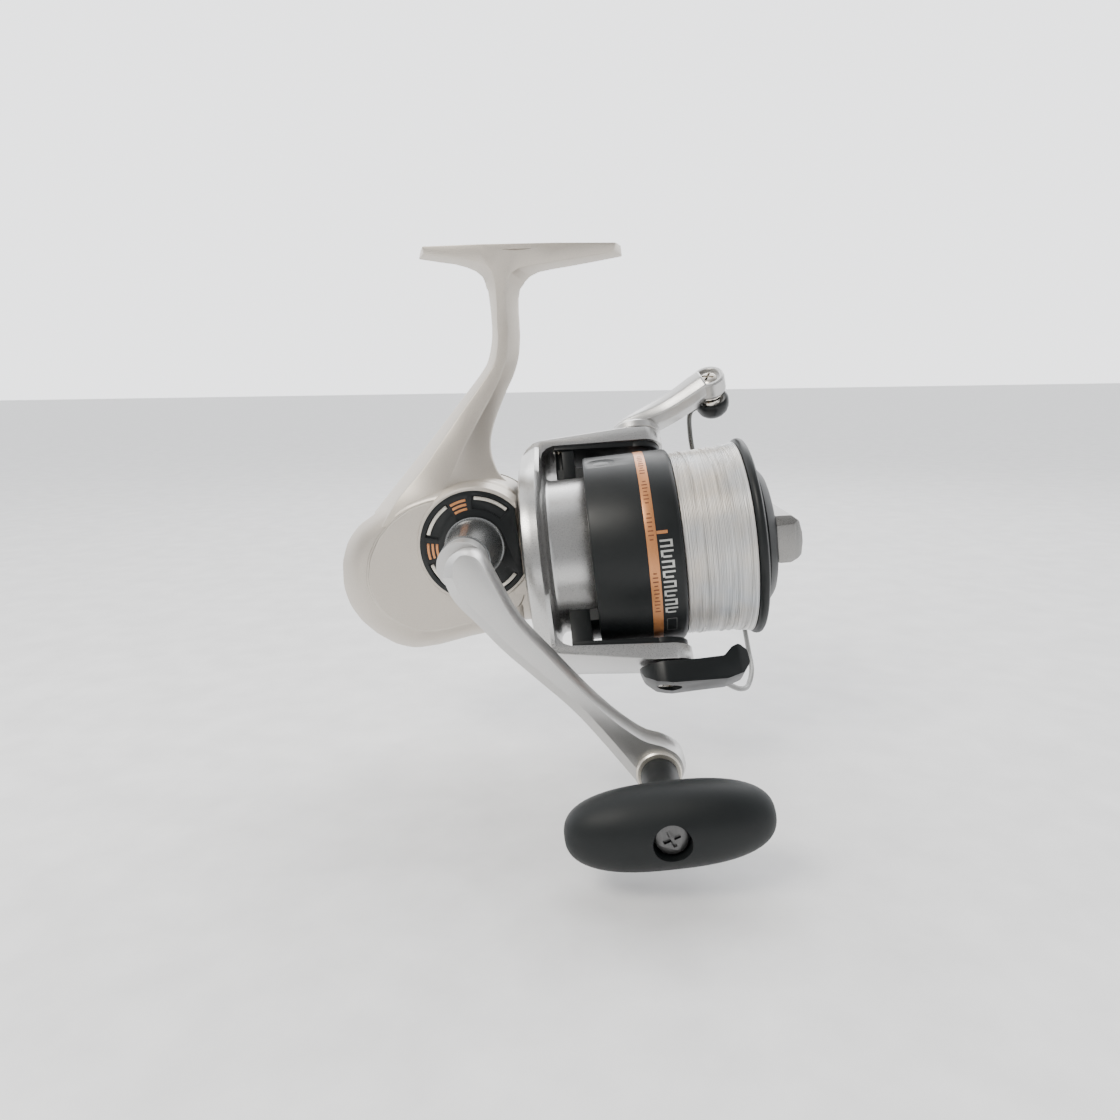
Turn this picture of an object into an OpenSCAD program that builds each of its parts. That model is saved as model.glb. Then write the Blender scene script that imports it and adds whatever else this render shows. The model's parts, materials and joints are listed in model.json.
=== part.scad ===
// Front-drag spinning reel, built piece by piece.
// The row frame has its origin in the middle of the foot's seat: +X points forward along the rod,
// +Z points out of the seat into the rod, and the handle is on the -Y side.
// Every piece is drawn in the spool frame: X along the spool's axis, the origin level with the
// skirt's rear edge, the foot on the +Z side. The module placed() carries it to the row frame.

/* [Frame] */
// How far the spool's axis rises towards the front, in degrees
axis_rise = 6; // [0:0.5:8]
// Height of the foot's seat above the spool axis, measured at the skirt's rear edge
seat_height = 99.51; // [95:0.1:105]
// Distance of the skirt's rear edge ahead of the foot's middle
skirt_ahead = 22.83; // [20:0.1:26]
// Turn of the rotor about the spool axis at rest, in degrees
rotor_turn = 33; // [0:1:60]

/* [Gears] */
// Teeth on the drive gear
drive_teeth = 42; // [40:1:44]
// Teeth on the pinion
pinion_teeth = 10; // [10:1:10]
// Pitch radius of the pinion
pinion_pitch_r = 3.4; // [3.4:0.1:3.4]
// Distance of the handle axle behind the skirt's rear edge
axle_back = 36.4; // [36:0.1:37]
// Height of the handle axle above the spool axis
axle_up = 10.5; // [10.3:0.1:10.7]

/* [Spool] */
// Radius of the skirt
skirt_r = 32.3; // [32:0.1:32.5]
// Radius of the front lip
lip_r = 33; // [32.6:0.1:33.2]
// Radius of the wound line at its rear end
line_rear_r = 30.9; // [28:0.1:31.2]
// Radius of the wound line at the lip
line_front_r = 32; // [30:0.1:32.2]
// Radius of the main shaft
shaft_r = 1.9; // [1.8:0.05:2]

/* [Hidden] */

// Running clearance between a turning or sliding piece and what guides it
run = 0.05;
// A hair of overlap that joins two shapes of one piece
weld = 0.02;
// Far more than any piece is wide: for cutting tools
big = 300;

// Handle axle in the spool frame
axle_x = -axle_back;
axle_z = axle_up;

// Drive gear: the teeth run straight, level with the spool axis, and start drive_reach ahead of the axle
drive_reach = pinion_pitch_r * drive_teeth / pinion_teeth;
tooth_from = drive_reach - 1.3;
tooth_to = drive_reach + 1.2;
drive_out_r = sqrt(tooth_to * tooth_to + axle_up * axle_up);
pinion_root_r = 2.65;
pinion_tip_r = 4.0;
drive_plate_y = -4.4;
drive_tip_y = -2.95;

// Oscillation gears
osc_x = -56.5;
osc_z = 0;
osc_drive_teeth = 20;
osc_teeth = 30;
osc_span = sqrt(pow(osc_x - axle_x, 2) + pow(osc_z - axle_z, 2));
osc_module = 2 * osc_span / (osc_drive_teeth + osc_teeth);
osc_y = [5.2, 7.8];
crank_r = 9.25;
crank_angle = acos(-7.25 / crank_r);
slider_x = osc_x - 7.25;

// Body split and wall sizes
waist_y = 11;
flank_y = 19;
split_y = 9;
hub_r = 18.9;
boss_plate_r = 20.5;
bearing_x = -17;
clutch_x = -12.8;
boss_end_x = -7.8;

// Bail pivot and line roller, in the turned rotor frame
pivot_x = 20;
arm_out = 42;
roller_start = [47, -12, 57];
roller_dir = [0.159, 0.917, -0.367];

// ---------------------------------------------------------------- frames and tools

module placed()
    translate([skirt_ahead, 0, -seat_height])
        rotate([0, -axis_rise, 0])
            children();

module on_rotor()
    placed()
        rotate([-rotor_turn, 0, 0])
            children();

// A profile of [radius, x] points turned round the spool axis
module turned(profile)
    rotate([0, 90, 0])
        rotate_extrude($fn = 96)
            polygon(profile);

module rod_x(x0, x1, r, y = 0, z = 0)
    translate([x0, y, z])
        rotate([0, 90, 0])
            cylinder(h = x1 - x0, r = r, $fn = 48);

module tube_x(x0, x1, outer, inner, y = 0, z = 0)
    difference() {
        rod_x(x0, x1, outer, y, z);
        rod_x(x0 - 1, x1 + 1, inner, y, z);
    }

module rod_y(y0, y1, r, x = axle_x, z = axle_z)
    translate([x, y0, z])
        rotate([-90, 0, 0])
            cylinder(h = y1 - y0, r = r, $fn = 64);

module cone_y(y0, y1, r0, r1, x = axle_x, z = axle_z)
    translate([x, y0, z])
        rotate([-90, 0, 0])
            cylinder(h = y1 - y0, r1 = r0, r2 = r1, $fn = 64);

module tube_y(y0, y1, outer, inner, x = axle_x, z = axle_z)
    difference() {
        rod_y(y0, y1, outer, x, z);
        rod_y(y0 - 1, y1 + 1, inner, x, z);
    }

module rod_z(z0, z1, r, x = 0, y = 0)
    translate([x, y, z0])
        cylinder(h = z1 - z0, r = r, $fn = 48);

// An outline of [x, z] points with faces at y0 and y1
module slab(outline, y0, y1)
    translate([0, y1, 0])
        rotate([90, 0, 0])
            linear_extrude(y1 - y0)
                polygon(outline);

// A plan of [x, y] points with faces at z0 and z1
module plate(plan, z0, z1)
    translate([0, 0, z0])
        linear_extrude(z1 - z0)
            polygon(plan);

// Everything with y from y0 to y1
module between_y(y0, y1)
    translate([-big / 2, y0, -big / 2])
        cube([big, y1 - y0, big]);

// A bar along a circle round the handle axle, from angle a0 to a1
module arc_bar(r0, r1, a0, a1, y0, y1)
    intersection() {
        tube_y(y0, y1, r1, r0);
        translate([axle_x, 0, axle_z])
            slab([[0, 0], 30 * [cos(a0), sin(a0)], 34 * [cos((a0 + a1) / 2), sin((a0 + a1) / 2)],
                30 * [cos(a1), sin(a1)]], y0 - 1, y1 + 1);
    }

// Stands on start and points its own Z along dir
module along(start, dir)
    translate(start)
        rotate([0, acos(dir[2]), atan2(dir[1], dir[0])])
            children();

// Spur gear with straight-sided teeth, centred on Z; the first tooth points along X
module spur_gear(teeth, mod, height, tooth_share = 0.42) {
    pitch_r = teeth * mod / 2;
    root_r = pitch_r - 1.05 * mod;
    tip_r = pitch_r + 0.75 * mod;
    base = 1.25 * tooth_share * PI * mod;
    tip = 0.55 * tooth_share * PI * mod;
    linear_extrude(height) {
        circle(r = root_r, $fn = 96);
        for (i = [0 : teeth - 1])
            rotate(i * 360 / teeth)
                polygon([[root_r - 0.4, -base / 2], [tip_r, -tip / 2], [tip_r, tip / 2],
                    [root_r - 0.4, base / 2]]);
    }
}

// Point number i of a smooth curve through the list pts, at fraction t towards the next point
function before(pts, i) = pts[max(i - 1, 0)];
function after(pts, i, n) = pts[min(i + n, len(pts) - 1)];
function on_curve(pts, i, t) =
    0.5 * (2 * pts[i] + (after(pts, i, 1) - before(pts, i)) * t
        + (2 * before(pts, i) - 5 * pts[i] + 4 * after(pts, i, 1) - after(pts, i, 2)) * t * t
        + (3 * pts[i] - before(pts, i) - 3 * after(pts, i, 1) + after(pts, i, 2)) * t * t * t);
function smooth_path(pts, steps) = concat(
    [for (i = [0 : len(pts) - 2]) for (k = [0 : steps - 1]) on_curve(pts, i, k / steps)],
    [pts[len(pts) - 1]]);
function unit(v) = v / norm(v);

// Round wire along a list of points
module wire(path, r, sides = 10) {
    last = len(path) - 1;
    side_hint = [0.31, 0.2, 0.93];
    dirs = [for (i = [0 : last]) unit(path[min(i + 1, last)] - path[max(i - 1, 0)])];
    rings = [for (i = [0 : last])
        let (u = unit(cross(dirs[i], side_hint)), v = cross(dirs[i], u))
        for (k = [0 : sides - 1])
            path[i] + r * (cos(k * 360 / sides) * u + sin(k * 360 / sides) * v)];
    walls = [for (i = [0 : last - 1]) for (k = [0 : sides - 1])
        let (a = i * sides + k, b = i * sides + (k + 1) % sides)
        each [[a, b + sides, b], [a, a + sides, b + sides]]];
    start_cap = [[for (k = [0 : sides - 1]) k]];
    end_cap = [[for (k = [0 : sides - 1]) last * sides + sides - 1 - k]];
    polyhedron(points = rings, faces = concat(start_cap, walls, end_cap));
}

// A coil spring standing on Z
module coil(r, wire_r, length, turns, steps = 12)
    wire([for (i = [0 : turns * steps])
        [r * cos(i * 360 / steps), r * sin(i * 360 / steps), length * i / (turns * steps)]],
        wire_r, 6);

// Cross-recess screw head with its shank, standing on Z with the head at the top
module cross_screw(head_r, head_h, shank_r, length)
    difference() {
        union() {
            cylinder(h = head_h, r = head_r, $fn = 40);
            translate([0, 0, -length])
                cylinder(h = length + weld, r = shank_r, $fn = 24);
        }
        for (a = [0, 90])
            rotate(a)
                translate([-0.62 * head_r, -0.14 * head_r, 0.45 * head_h])
                    cube([1.24 * head_r, 0.28 * head_r, head_h]);
    }

// ---------------------------------------------------------------- body

casing_outline = [[-43, 51.4], [-57.7, 37.1], [-75.8, 20.2], [-82.1, 12.1], [-84.1, 0],
    [-81.3, -10.2], [-75.4, -17.5], [-69.1, -23], [-63.9, -24.3], [-43.9, -21.8], [-22, -19.5],
    [-22, 25.7], [-28.1, 33.9], [-28.5, 42]];
flank_outline = [[-53.9, 25], [-62, 21.5], [-69, 15.5], [-72.9, 6.3], [-72.8, 0.1],
    [-69.5, -7.5], [-64, -13], [-57.3, -16.4], [-22, -12], [-22, 22], [-27, 27], [-36, 30]];
cavity_outline = [[-44, 46], [-57, 34], [-73.5, 18.5], [-79.2, 11], [-81.2, 0],
    [-78.7, -9.2], [-73.7, -15.3], [-68, -20.2], [-63.5, -21.5], [-43.9, -19.2], [-24.5, -17],
    [-24.5, 25], [-30.5, 33], [-32, 42]];
cavity_flank = [[-53.5, 22], [-61, 18.8], [-66.8, 13.7], [-70, 5.6], [-70, 0.3],
    [-67, -6], [-62.2, -11], [-56.4, -13.6], [-24.5, -10], [-24.5, 20], [-29, 25], [-36, 27]];

module casing()
    hull() {
        slab(casing_outline, -waist_y, waist_y);
        slab(flank_outline, -flank_y, flank_y);
    }

module cavity()
    hull() {
        slab(cavity_outline, -waist_y + 2, waist_y - 2);
        slab(cavity_flank, -flank_y + 2.4, flank_y - 2.4);
    }

// Stem stations: rear edge, near-face left and right creases, front edge
stem_top = [[-24.4, 94], [-21, 94], [-17.4, 92], [-13.2, 90]];
stem_high = [[-24.5, 78.6], [-21.4, 78.2], [-18.3, 78], [-14.3, 77.8]];
stem_bend = [[-27.3, 68.1], [-23.8, 68], [-19.8, 67.8], [-16, 67.7]];
stem_low = [[-37, 57.3], [-33, 56.4], [-25.9, 56.3], [-22.2, 56.1]];
stem_root = [[-56.5, 38.5], [-49, 37.5], [-37, 36.5], [-28.2, 36]];

module stem_part(a, b)
    hull() {
        slab([a[0], a[3], b[3], b[0]], -1.2, 1.2);
        slab([a[1], a[2], b[2], b[1]], -7, 7);
    }

module stem() {
    stem_part(stem_top, stem_high);
    stem_part(stem_high, stem_bend);
    stem_part(stem_bend, stem_low);
    stem_part(stem_low, stem_root);
}

foot_profile = [[-31.25, 0], [31.25, 0], [33.2, -1.2], [33.2, -3], [18.2, -5.5], [7.4, -7.2],
    [4.1, -8.4], [1.7, -11], [0.8, -17], [-10.6, -17], [-11, -11.2], [-12.1, -8.7], [-14.8, -6.6],
    [-18.5, -5.4], [-22.3, -4.9], [-32.2, -2.6], [-32.2, -1]];
foot_plan = [[-32.2, -4], [-30, -6.2], [-12, -8.3], [10, -8.3], [31, -6.4], [33.2, -4],
    [33.2, 4], [31, 6.4], [10, 8.3], [-12, 8.3], [-30, 6.2], [-32.2, 4]];

// The foot is drawn level, round the middle of its own seat
module foot()
    intersection() {
        slab(foot_profile, -8.3, 8.3);
        plate(foot_plan, -20, 1);
    }

module foot_neck_trim()
    translate([-20, -big / 2, -40])
        cube([40, big, 31]);

module body_housing()
    color("silver") {
        difference() {
            foot();
            difference() {
                foot_neck_trim();
                slab([[-14, 0], [5, 0], [3, -20], [-13, -20]], -7, 7);
            }
        }
        placed() {
            difference() {
                union() {
                    difference() {
                        casing();
                        cavity();
                        between_y(split_y, big / 2);
                    }
                    stem();
                    // gear bulge and the round boss that reaches into the rotor
                    difference() {
                        rod_y(-9.8, -0.2, drive_out_r + 2.2);
                        translate([-big - 26, -big / 2, -big / 2])
                            cube(big);
                    }
                    rod_x(-26, -19, boss_plate_r);
                    rod_x(-26, boss_end_x, 16);
                    // hub rim round the trim plate and the inner seat of the near bearing
                    intersection() {
                        rod_y(-20.9, -15, hub_r);
                        slab([[-60, -10], [-22, -10], [-22, 32], [-60, 32]], -30, 0);
                    }
                    rod_y(-17.5, -12.6, 8.8);
                    // foot of the guide rail
                    translate([-41.5, -3.4, -21])
                        cube([4.5, 6.8, 13.4]);
                    translate([-80.5, -3.4, -14])
                        cube([5, 6.8, 8]);
                }
                // trim plate seat
                intersection() {
                    rod_y(-22, -19.4, 17.75);
                    slab([[-60, -10], [-22.4, -10], [-22.4, 32], [-60, 32]], -30, 0);
                }
                // near bearing and drive shaft
                rod_y(-18, -12, 6.5);
                rod_y(-30, -12, 4.1);
                // gear pocket, pinion passage and bearing seat
                rod_y(-7.3, -2.2, drive_out_r + 0.5);
                rod_x(-30, -16, 4.6);
                rod_x(bearing_x, 5, 9);
                for (i = [0 : 2])
                    rotate([i * 120, 0, 0])
                        rod_x(boss_end_x - 5, 5, 0.8, 0, 12.5);
                // guide rail
                rod_x(-79, -37.5, 1.1, -0.6, -9.5);
                // screw holes of the side cover
                for (p = cover_screws)
                    rod_y(2, 30, 1.0, p[0], p[1]);
            }
            // posts that take the side cover's screws
            for (p = cover_screws)
                tube_y(2, split_y, 2.6, 1.0, p[0], p[1]);
        }
    }

// The side cover's screws, as [x, z]
cover_screws = [[-78, 8], [-62, -19.5], [-47.5, 40], [-29, -16]];

module side_cover()
    color("silver")
        placed() {
            difference() {
                union() {
                    difference() {
                        casing();
                        cavity();
                        between_y(-big / 2, split_y + 0.05);
                    }
                    intersection() {
                        rod_y(15, 20.9, hub_r);
                        slab([[-60, -10], [-22, -10], [-22, 32], [-60, 32]], 0, 30);
                    }
                    rod_y(11.4, 17.5, 8.8);
                    rod_y(11.4, 17.5, 4.2, osc_x, osc_z);
                    for (p = cover_screws)
                        rod_y(split_y + 0.05, 12.5, 2.6, p[0], p[1]);
                }
                rod_y(11, 15.6, 6.5);
                rod_y(11, 30, 4.1);
                rod_y(10, 16, 2, osc_x, osc_z);
                rod_x(-26, 0, boss_plate_r);
                for (p = cover_screws) {
                    rod_y(0, 30, 1.15, p[0], p[1]);
                    rod_y(11.2, 30, 2.3, p[0], p[1]);
                }
            }
        }

module side_cover_screws()
    color("dimgray")
        placed()
            for (p = cover_screws)
                translate([p[0], 11.2, p[1]])
                    rotate([-90, 0, 0])
                        cross_screw(2.0, 1.3, 1.0, 8.5);

trim_outline = [[-60, -10], [-22.5, -10], [-22.5, 32], [-60, 32]];
silver_arcs = [[43, 84], [119, 160], [-163, -128], [-78, -42]];
orange_groups = [[94, 114], [170, 190]];
orange_radii = [12.2, 13.6, 15];

module hub_trim_plate()
    color("black")
        placed()
            difference() {
                intersection() {
                    tube_y(-21.2, -19.4, 17.7, 4.15);
                    slab(trim_outline, -30, 0);
                }
                for (a = silver_arcs)
                    arc_bar(11.9, 16.2, a[0] - 3, a[1] + 3, -21.5, -20.3);
                for (a = orange_groups)
                    for (r = orange_radii)
                        arc_bar(r - 0.4, r + 0.4, a[0], a[1], -21.5, -20.5);
            }

module trim_silver_arcs()
    color("gainsboro")
        placed()
            for (a = silver_arcs)
                arc_bar(14.8, 15.9, a[0], a[1], -20.9, -20.3);

module trim_orange_bars()
    color("orange")
        placed()
            for (a = orange_groups)
                for (r = orange_radii)
                    arc_bar(r - 0.4, r + 0.4, a[0], a[1], -21.3, -20.5);

// ---------------------------------------------------------------- bearings and guides

// Ring bearing whose shielded faces are set back between the races
module shielded_ring(outer, inner, width)
    difference() {
        cylinder(h = width, r = outer, $fn = 72);
        translate([0, 0, -1])
            cylinder(h = width + 2, r = inner, $fn = 72);
        for (z = [-1, width - 0.3])
            translate([0, 0, z])
                difference() {
                    cylinder(h = 1.3, r = outer - 0.9, $fn = 72);
                    translate([0, 0, -1])
                        cylinder(h = 4, r = inner + 0.9, $fn = 72);
                }
    }

module drive_bearing_left()
    color("gray")
        placed()
            translate([axle_x, -17.2, axle_z])
                rotate([-90, 0, 0])
                    shielded_ring(6.5, 3.6 + run, 4);

module drive_bearing_right()
    color("gray")
        placed()
            translate([axle_x, 11.5, axle_z])
                rotate([-90, 0, 0])
                    shielded_ring(6.5, 3.6 + run, 4);

module pinion_bearing()
    color("gray")
        placed()
            translate([bearing_x, 0, 0])
                rotate([0, 90, 0])
                    shielded_ring(9, 3.4 + run, 4);

module one_way_clutch()
    color("slategray")
        placed() {
            tube_x(clutch_x, boss_end_x - 0.1, 9, 6.6);
            // rollers between the outer ring and the sleeve
            for (i = [0 : 5])
                rotate([i * 60, 0, 0])
                    rod_x(clutch_x + 0.5, boss_end_x - 0.7, 0.72, 0, 5.84);
        }

module clutch_sleeve()
    color("lightgray")
        on_rotor()
            tube_x(clutch_x + 0.1, -6.5, 5.05, 3.4);

module bearing_retainer()
    color("gray")
        placed()
            difference() {
                tube_x(boss_end_x, boss_end_x + 0.8, 15, 6);
                for (i = [0 : 2])
                    rotate([i * 120, 0, 0])
                        rod_x(boss_end_x - 5, 5, 0.9, 0, 12.5);
            }

module retainer_screws()
    color("dimgray")
        placed()
            for (i = [0 : 2])
                rotate([i * 120, 0, 0])
                    translate([boss_end_x + 0.8, 0, 12.5])
                        rotate([0, 90, 0])
                            cross_screw(1.5, 0.7, 0.8, 4.8);

module slider_guide_rail()
    color("lightgray")
        placed()
            rod_x(-79, -37.5, 1.1, -0.6, -9.5);

module oscillation_post()
    color("lightgray")
        placed() {
            rod_y(4.7, 16, 2, osc_x, osc_z);
            rod_y(8.1, 8.9, 3.4, osc_x, osc_z);
        }

// ---------------------------------------------------------------- handle and drive

// Angle of the line of centres from the drive shaft to the oscillation gear
osc_line = atan2(osc_z - axle_z, osc_x - axle_x);

module drive_tooth()
    translate([tooth_from, 0, -axle_up])
        rotate([90, 0, 90])
            linear_extrude(tooth_to - tooth_from)
                polygon([[drive_plate_y - 0.3, -0.52], [drive_tip_y, -0.26], [drive_tip_y, 0.26],
                    [drive_plate_y - 0.3, 0.52]]);

module drive_gear()
    color("goldenrod")
        placed()
            difference() {
                union() {
                    rod_y(-6.9, drive_plate_y, drive_out_r);
                    rod_y(-18.4, 16, 3.6);
                    translate([axle_x, 0, axle_z])
                        for (i = [0 : drive_teeth - 1])
                            rotate([0, i * 360 / drive_teeth, 0])
                                drive_tooth();
                }
                tube_y(drive_plate_y - 1, 0, 15, 5.2);
                rod_y(-30, 30, 2.25);
                for (i = [0 : 4])
                    rotate_about_axle(i * 72 + 36)
                        rod_y(-10, 0, 3, axle_x + 10.2, axle_z);
            }

module rotate_about_axle(angle)
    translate([axle_x, 0, axle_z])
        rotate([0, -angle, 0])
            translate([-axle_x, 0, -axle_z])
                children();

module oscillation_drive_gear()
    color("dimgray")
        placed()
            translate([axle_x, osc_y[1], axle_z])
                rotate([90, 0, 0])
                    difference() {
                        rotate(osc_line)
                            spur_gear(osc_drive_teeth, osc_module, osc_y[1] - osc_y[0]);
                        translate([0, 0, -1])
                            cylinder(h = 9, r = 3.6, $fn = 64);
                    }

module oscillation_gear()
    color("dimgray")
        placed() {
            translate([osc_x, osc_y[1], osc_z])
                rotate([90, 0, 0])
                    difference() {
                        rotate(osc_line + 180 + 180 / osc_teeth)
                            spur_gear(osc_teeth, osc_module, osc_y[1] - osc_y[0]);
                        translate([0, 0, -1])
                            cylinder(h = 9, r = 2 + run, $fn = 64);
                    }
            rod_y(4.6, osc_y[0] + 0.3, 1.5, osc_x + crank_r * cos(crank_angle),
                osc_z + crank_r * sin(crank_angle));
        }

module handle_shaft()
    color("lightgray")
        placed() {
            rod_y(-47, 19, 2.25);
            rod_y(19 - weld, 24, 1.8);
        }

module handle_screw_cap()
    color("gray")
        placed()
            difference() {
                union() {
                    rod_y(21.2, 22.4, 8.4);
                    cone_y(22.4, 27.5, 7.6, 6.4);
                    cone_y(27.5, 28.6, 6.4, 5.2);
                    rod_y(17.2, 21.2 + weld, 3.9);
                }
                rod_y(16, 25, 1.8);
                rod_y(16, 19, 2.25);
                for (i = [0 : 11])
                    rotate_about_axle(i * 30)
                        rod_y(22.4, 30, 0.8, axle_x + 7.9, axle_z);
            }

module handle_sleeve()
    color("dimgray")
        placed()
            difference() {
                union() {
                    rod_y(-23.4, -21.9, 9.6);
                    cone_y(-26, -23.4, 8.6, 9.4);
                    cone_y(-43.6, -26, 7.3, 8.6);
                    rod_y(-44.7, -43.6, 7.5);
                    rod_y(-21.9 - weld, -18.6, 3.6);
                }
                rod_y(-50, 0, 2.25);
            }

arm_face = [[-41.2, 9], [-39.3, 13.6], [-35.4, 15.9], [-31.2, 15.2], [-28.7, 12.3], [-25.8, 4.8],
    [-21.5, -5.3], [-14.3, -15.5], [-1.9, -31.9], [8.5, -42.2], [15.1, -45.4], [19.3, -49],
    [20.4, -54.2], [17.6, -59.4], [12, -61], [7, -59], [4.2, -54.5], [-8.1, -35.8],
    [-18.2, -24], [-27, -14.1], [-33, -6], [-38.9, 1.9]];
knob_x = 12.4;
knob_z = -53.6;

module handle_arm()
    color("silver")
        placed()
            difference() {
                union() {
                    slab(arm_face, -59.2, -51.6);
                    rod_y(-51.6 - weld, -44.7, 7.2);
                }
                rod_y(-47, -40, 2.25);
                rod_y(-70, -40, 2.5, knob_x, knob_z);
            }

module knob_pin()
    color("lightgray")
        placed() {
            rod_y(-93, -50.6, 2.5, knob_x, knob_z);
            rod_y(-50.9, -49.9, 4.2, knob_x, knob_z);
        }

module knob_base_ring()
    color("gainsboro")
        placed()
            tube_y(-60.8, -59.2, 6.5, 2.5, knob_x, knob_z);

// The grip: a round stem under a wide oval crossbar, with the screw's well in its face
module knob_grip()
    color("#222222")
        placed()
            difference() {
                union() {
                    hull() {
                        translate([knob_x, -88, knob_z])
                            rotate([0, 4, 0])
                                for (side = [-1, 1]) {
                                    translate([side * 16.5, 0, 0])
                                        sphere(r = 9.4, $fn = 32);
                                    translate([side * 19.5, 0, 0])
                                        sphere(r = 7.6, $fn = 32);
                                }
                        translate([knob_x, -88, knob_z])
                            scale([1.25, 0.86, 1])
                                sphere(r = 11.6, $fn = 40);
                    }
                    cone_y(-80, -64, 7, 5.3, knob_x, knob_z);
                    rod_y(-64 - weld, -61.1, 5.3, knob_x, knob_z);
                }
                rod_y(-93, -60, 2.5 + run, knob_x, knob_z);
                rod_y(-110, -93 + weld, 4.75, knob_x, knob_z);
            }

module knob_screw()
    color("gray")
        placed()
            translate([knob_x, -93.3, knob_z])
                rotate([90, 0, 0])
                    difference() {
                        translate([0, 0, 0])
                            cylinder(h = 1.6, r = 4, $fn = 40);
                        for (a = [20, 110])
                            rotate(a)
                                translate([-2.2, -0.45, 0.7])
                                    cube([4.4, 0.9, 2]);
                    }

// ---------------------------------------------------------------- rotor

// Side view of one arm as [x, z]: the outer face rises towards the bail pivot
arm_side = [[-20.5, 31.5], [-18, 35.8], [-13.6, 38], [16, 41.7], [29, arm_out], [29, 37],
    [-9.5, 35.6], [-12, 34.4], [-14, 31.5], [-14, 27], [-20.5, 27]];
arm_plan = [[-21, -15.5], [-13, -14], [18, -9.4], [18, 9.4], [-13, 14], [-21, 15.5]];

module arm_blank()
    intersection() {
        slab(arm_side, -20, 20);
        union() {
            plate(arm_plan, 20, 50);
            rod_z(20, 50, 9, pivot_x - 0.5);
        }
    }

// Where the screw of each arm's inner cover stands
cover_screw_x = -7.9;
cover_screw_y = 9.9;

module arm_screw_spots()
    translate([cover_screw_x, 0, 0])
        for (side = [0, 180])
            rotate([side, 0, 0])
                translate([0, -cover_screw_y, 0])
                    children();

module rotor()
    color("silver")
        on_rotor()
            difference() {
                union() {
                    turned([[28.6, -21], [32.2, -21], [33, -20], [33, -15.2], [31.8, -14],
                        [26, -12.9], [25.9, 16], [24.6, 17.4], [3.4, 17.4], [3.4, -5.4],
                        [8.4, -5.4], [8.4, 14.6], [23.4, 14.6], [23.4, -12.4], [28.6, -17]]);
                    arm_blank();
                    rotate([180, 0, 0])
                        arm_blank();
                }
                // pivot holes at the arms' ends
                rod_z(-60, -30, 1.6, pivot_x);
                rod_z(30, 60, 1.6, pivot_x);
                // spring pocket in the upper arm, lightening pocket in the lower one
                translate([-2, -6, 33])
                    cube([18.5, 12, 5.9]);
                translate([-2, -6, -38.9])
                    cube([18.5, 12, 5.9]);
                arm_screw_spots()
                    rod_z(30, 37.6, 0.9);
            }

// Inner cover of an arm, curved to clear the skirt
module arm_cover()
    difference() {
        union() {
            difference() {
                intersection() {
                    slab([[-9.2, 34.2], [28, 34.6], [28, 37.1], [-9.2, 35.55]], -20, 20);
                    union() {
                        plate([[-9.2, -12.9], [18, -8.6], [18, 8.6], [-9.2, 12.9]], 20, 50);
                        rod_z(20, 50, 8.3, pivot_x - 0.5);
                    }
                }
                rod_x(-40, 60, 33.6);
            }
            // deep block that fills the space between the arm and the barrel
            plate([[-9.2, -11.6], [-2.7, -11], [-2.7, 11], [-9.2, 11.6]], 20, 34.6);
        }
        rod_x(-40, 60, 26.05);
        slab([[-10, 35.57], [-10, 40], [40, 40], [40, 37.2], [29, 36.98]], -20, 20);
        rod_z(20, 60, 2.9, pivot_x);
        translate([cover_screw_x, -cover_screw_y, 0])
            rod_z(20, 60, 1.9);
    }

module arm_cover_upper()
    color("#222222")
        on_rotor()
            arm_cover();

module arm_cover_lower()
    color("#222222")
        on_rotor()
            rotate([180, 0, 0])
                arm_cover();

module arm_cover_screws()
    color("silver")
        on_rotor()
            arm_screw_spots()
                translate([0, 0, 35.5])
                    rotate([180, 0, 0])
                        cross_screw(1.7, 0.8, 0.85, 2);

module pinion_gear()
    color("goldenrod")
        on_rotor()
            difference() {
                union() {
                    rod_x(-24.5, -17.2, pinion_root_r);
                    rod_x(-17.4, 17.4, 3.4);
                    rod_x(17.4 - weld, 21.2, 3);
                    for (i = [0 : pinion_teeth - 1])
                        rotate([(i + 0.5) * 360 / pinion_teeth + rotor_turn, 0, 0])
                            translate([-24.2, 0, 0])
                                rotate([90, 0, 90])
                                    linear_extrude(6.2)
                                        polygon([[pinion_root_r - 0.2, -0.5], [pinion_tip_r, -0.22],
                                            [pinion_tip_r, 0.22], [pinion_root_r - 0.2, 0.5]]);
                }
                rod_x(-40, 30, shaft_r + run);
            }

module rotor_nut()
    color("gray")
        on_rotor()
            difference() {
                translate([17.4, 0, 0])
                    rotate([0, 90, 0])
                        cylinder(h = 3, r = 6.2, $fn = 6);
                rod_x(10, 30, 3);
            }

module rotor_nut_lock()
    color("darkgray")
        on_rotor()
            difference() {
                tube_x(17.4, 18, 11.5, 6.3);
                rotate([90, 0, 0])
                    rod_x(10, 30, 1, 0, 9);
            }

module bail_spring()
    color("lightgray")
        on_rotor()
            translate([-1.2, 0, 37.6])
                rotate([0, 90, 0])
                    coil(0.95, 0.18, 10, 8);

module bail_spring_rod()
    color("lightgray")
        on_rotor() {
            rod_x(-1.9, 11, 0.7, 0, 37.6);
            rod_x(10, 15.5, 0.9, 0, 37.6);
        }

// ---------------------------------------------------------------- bail

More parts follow.
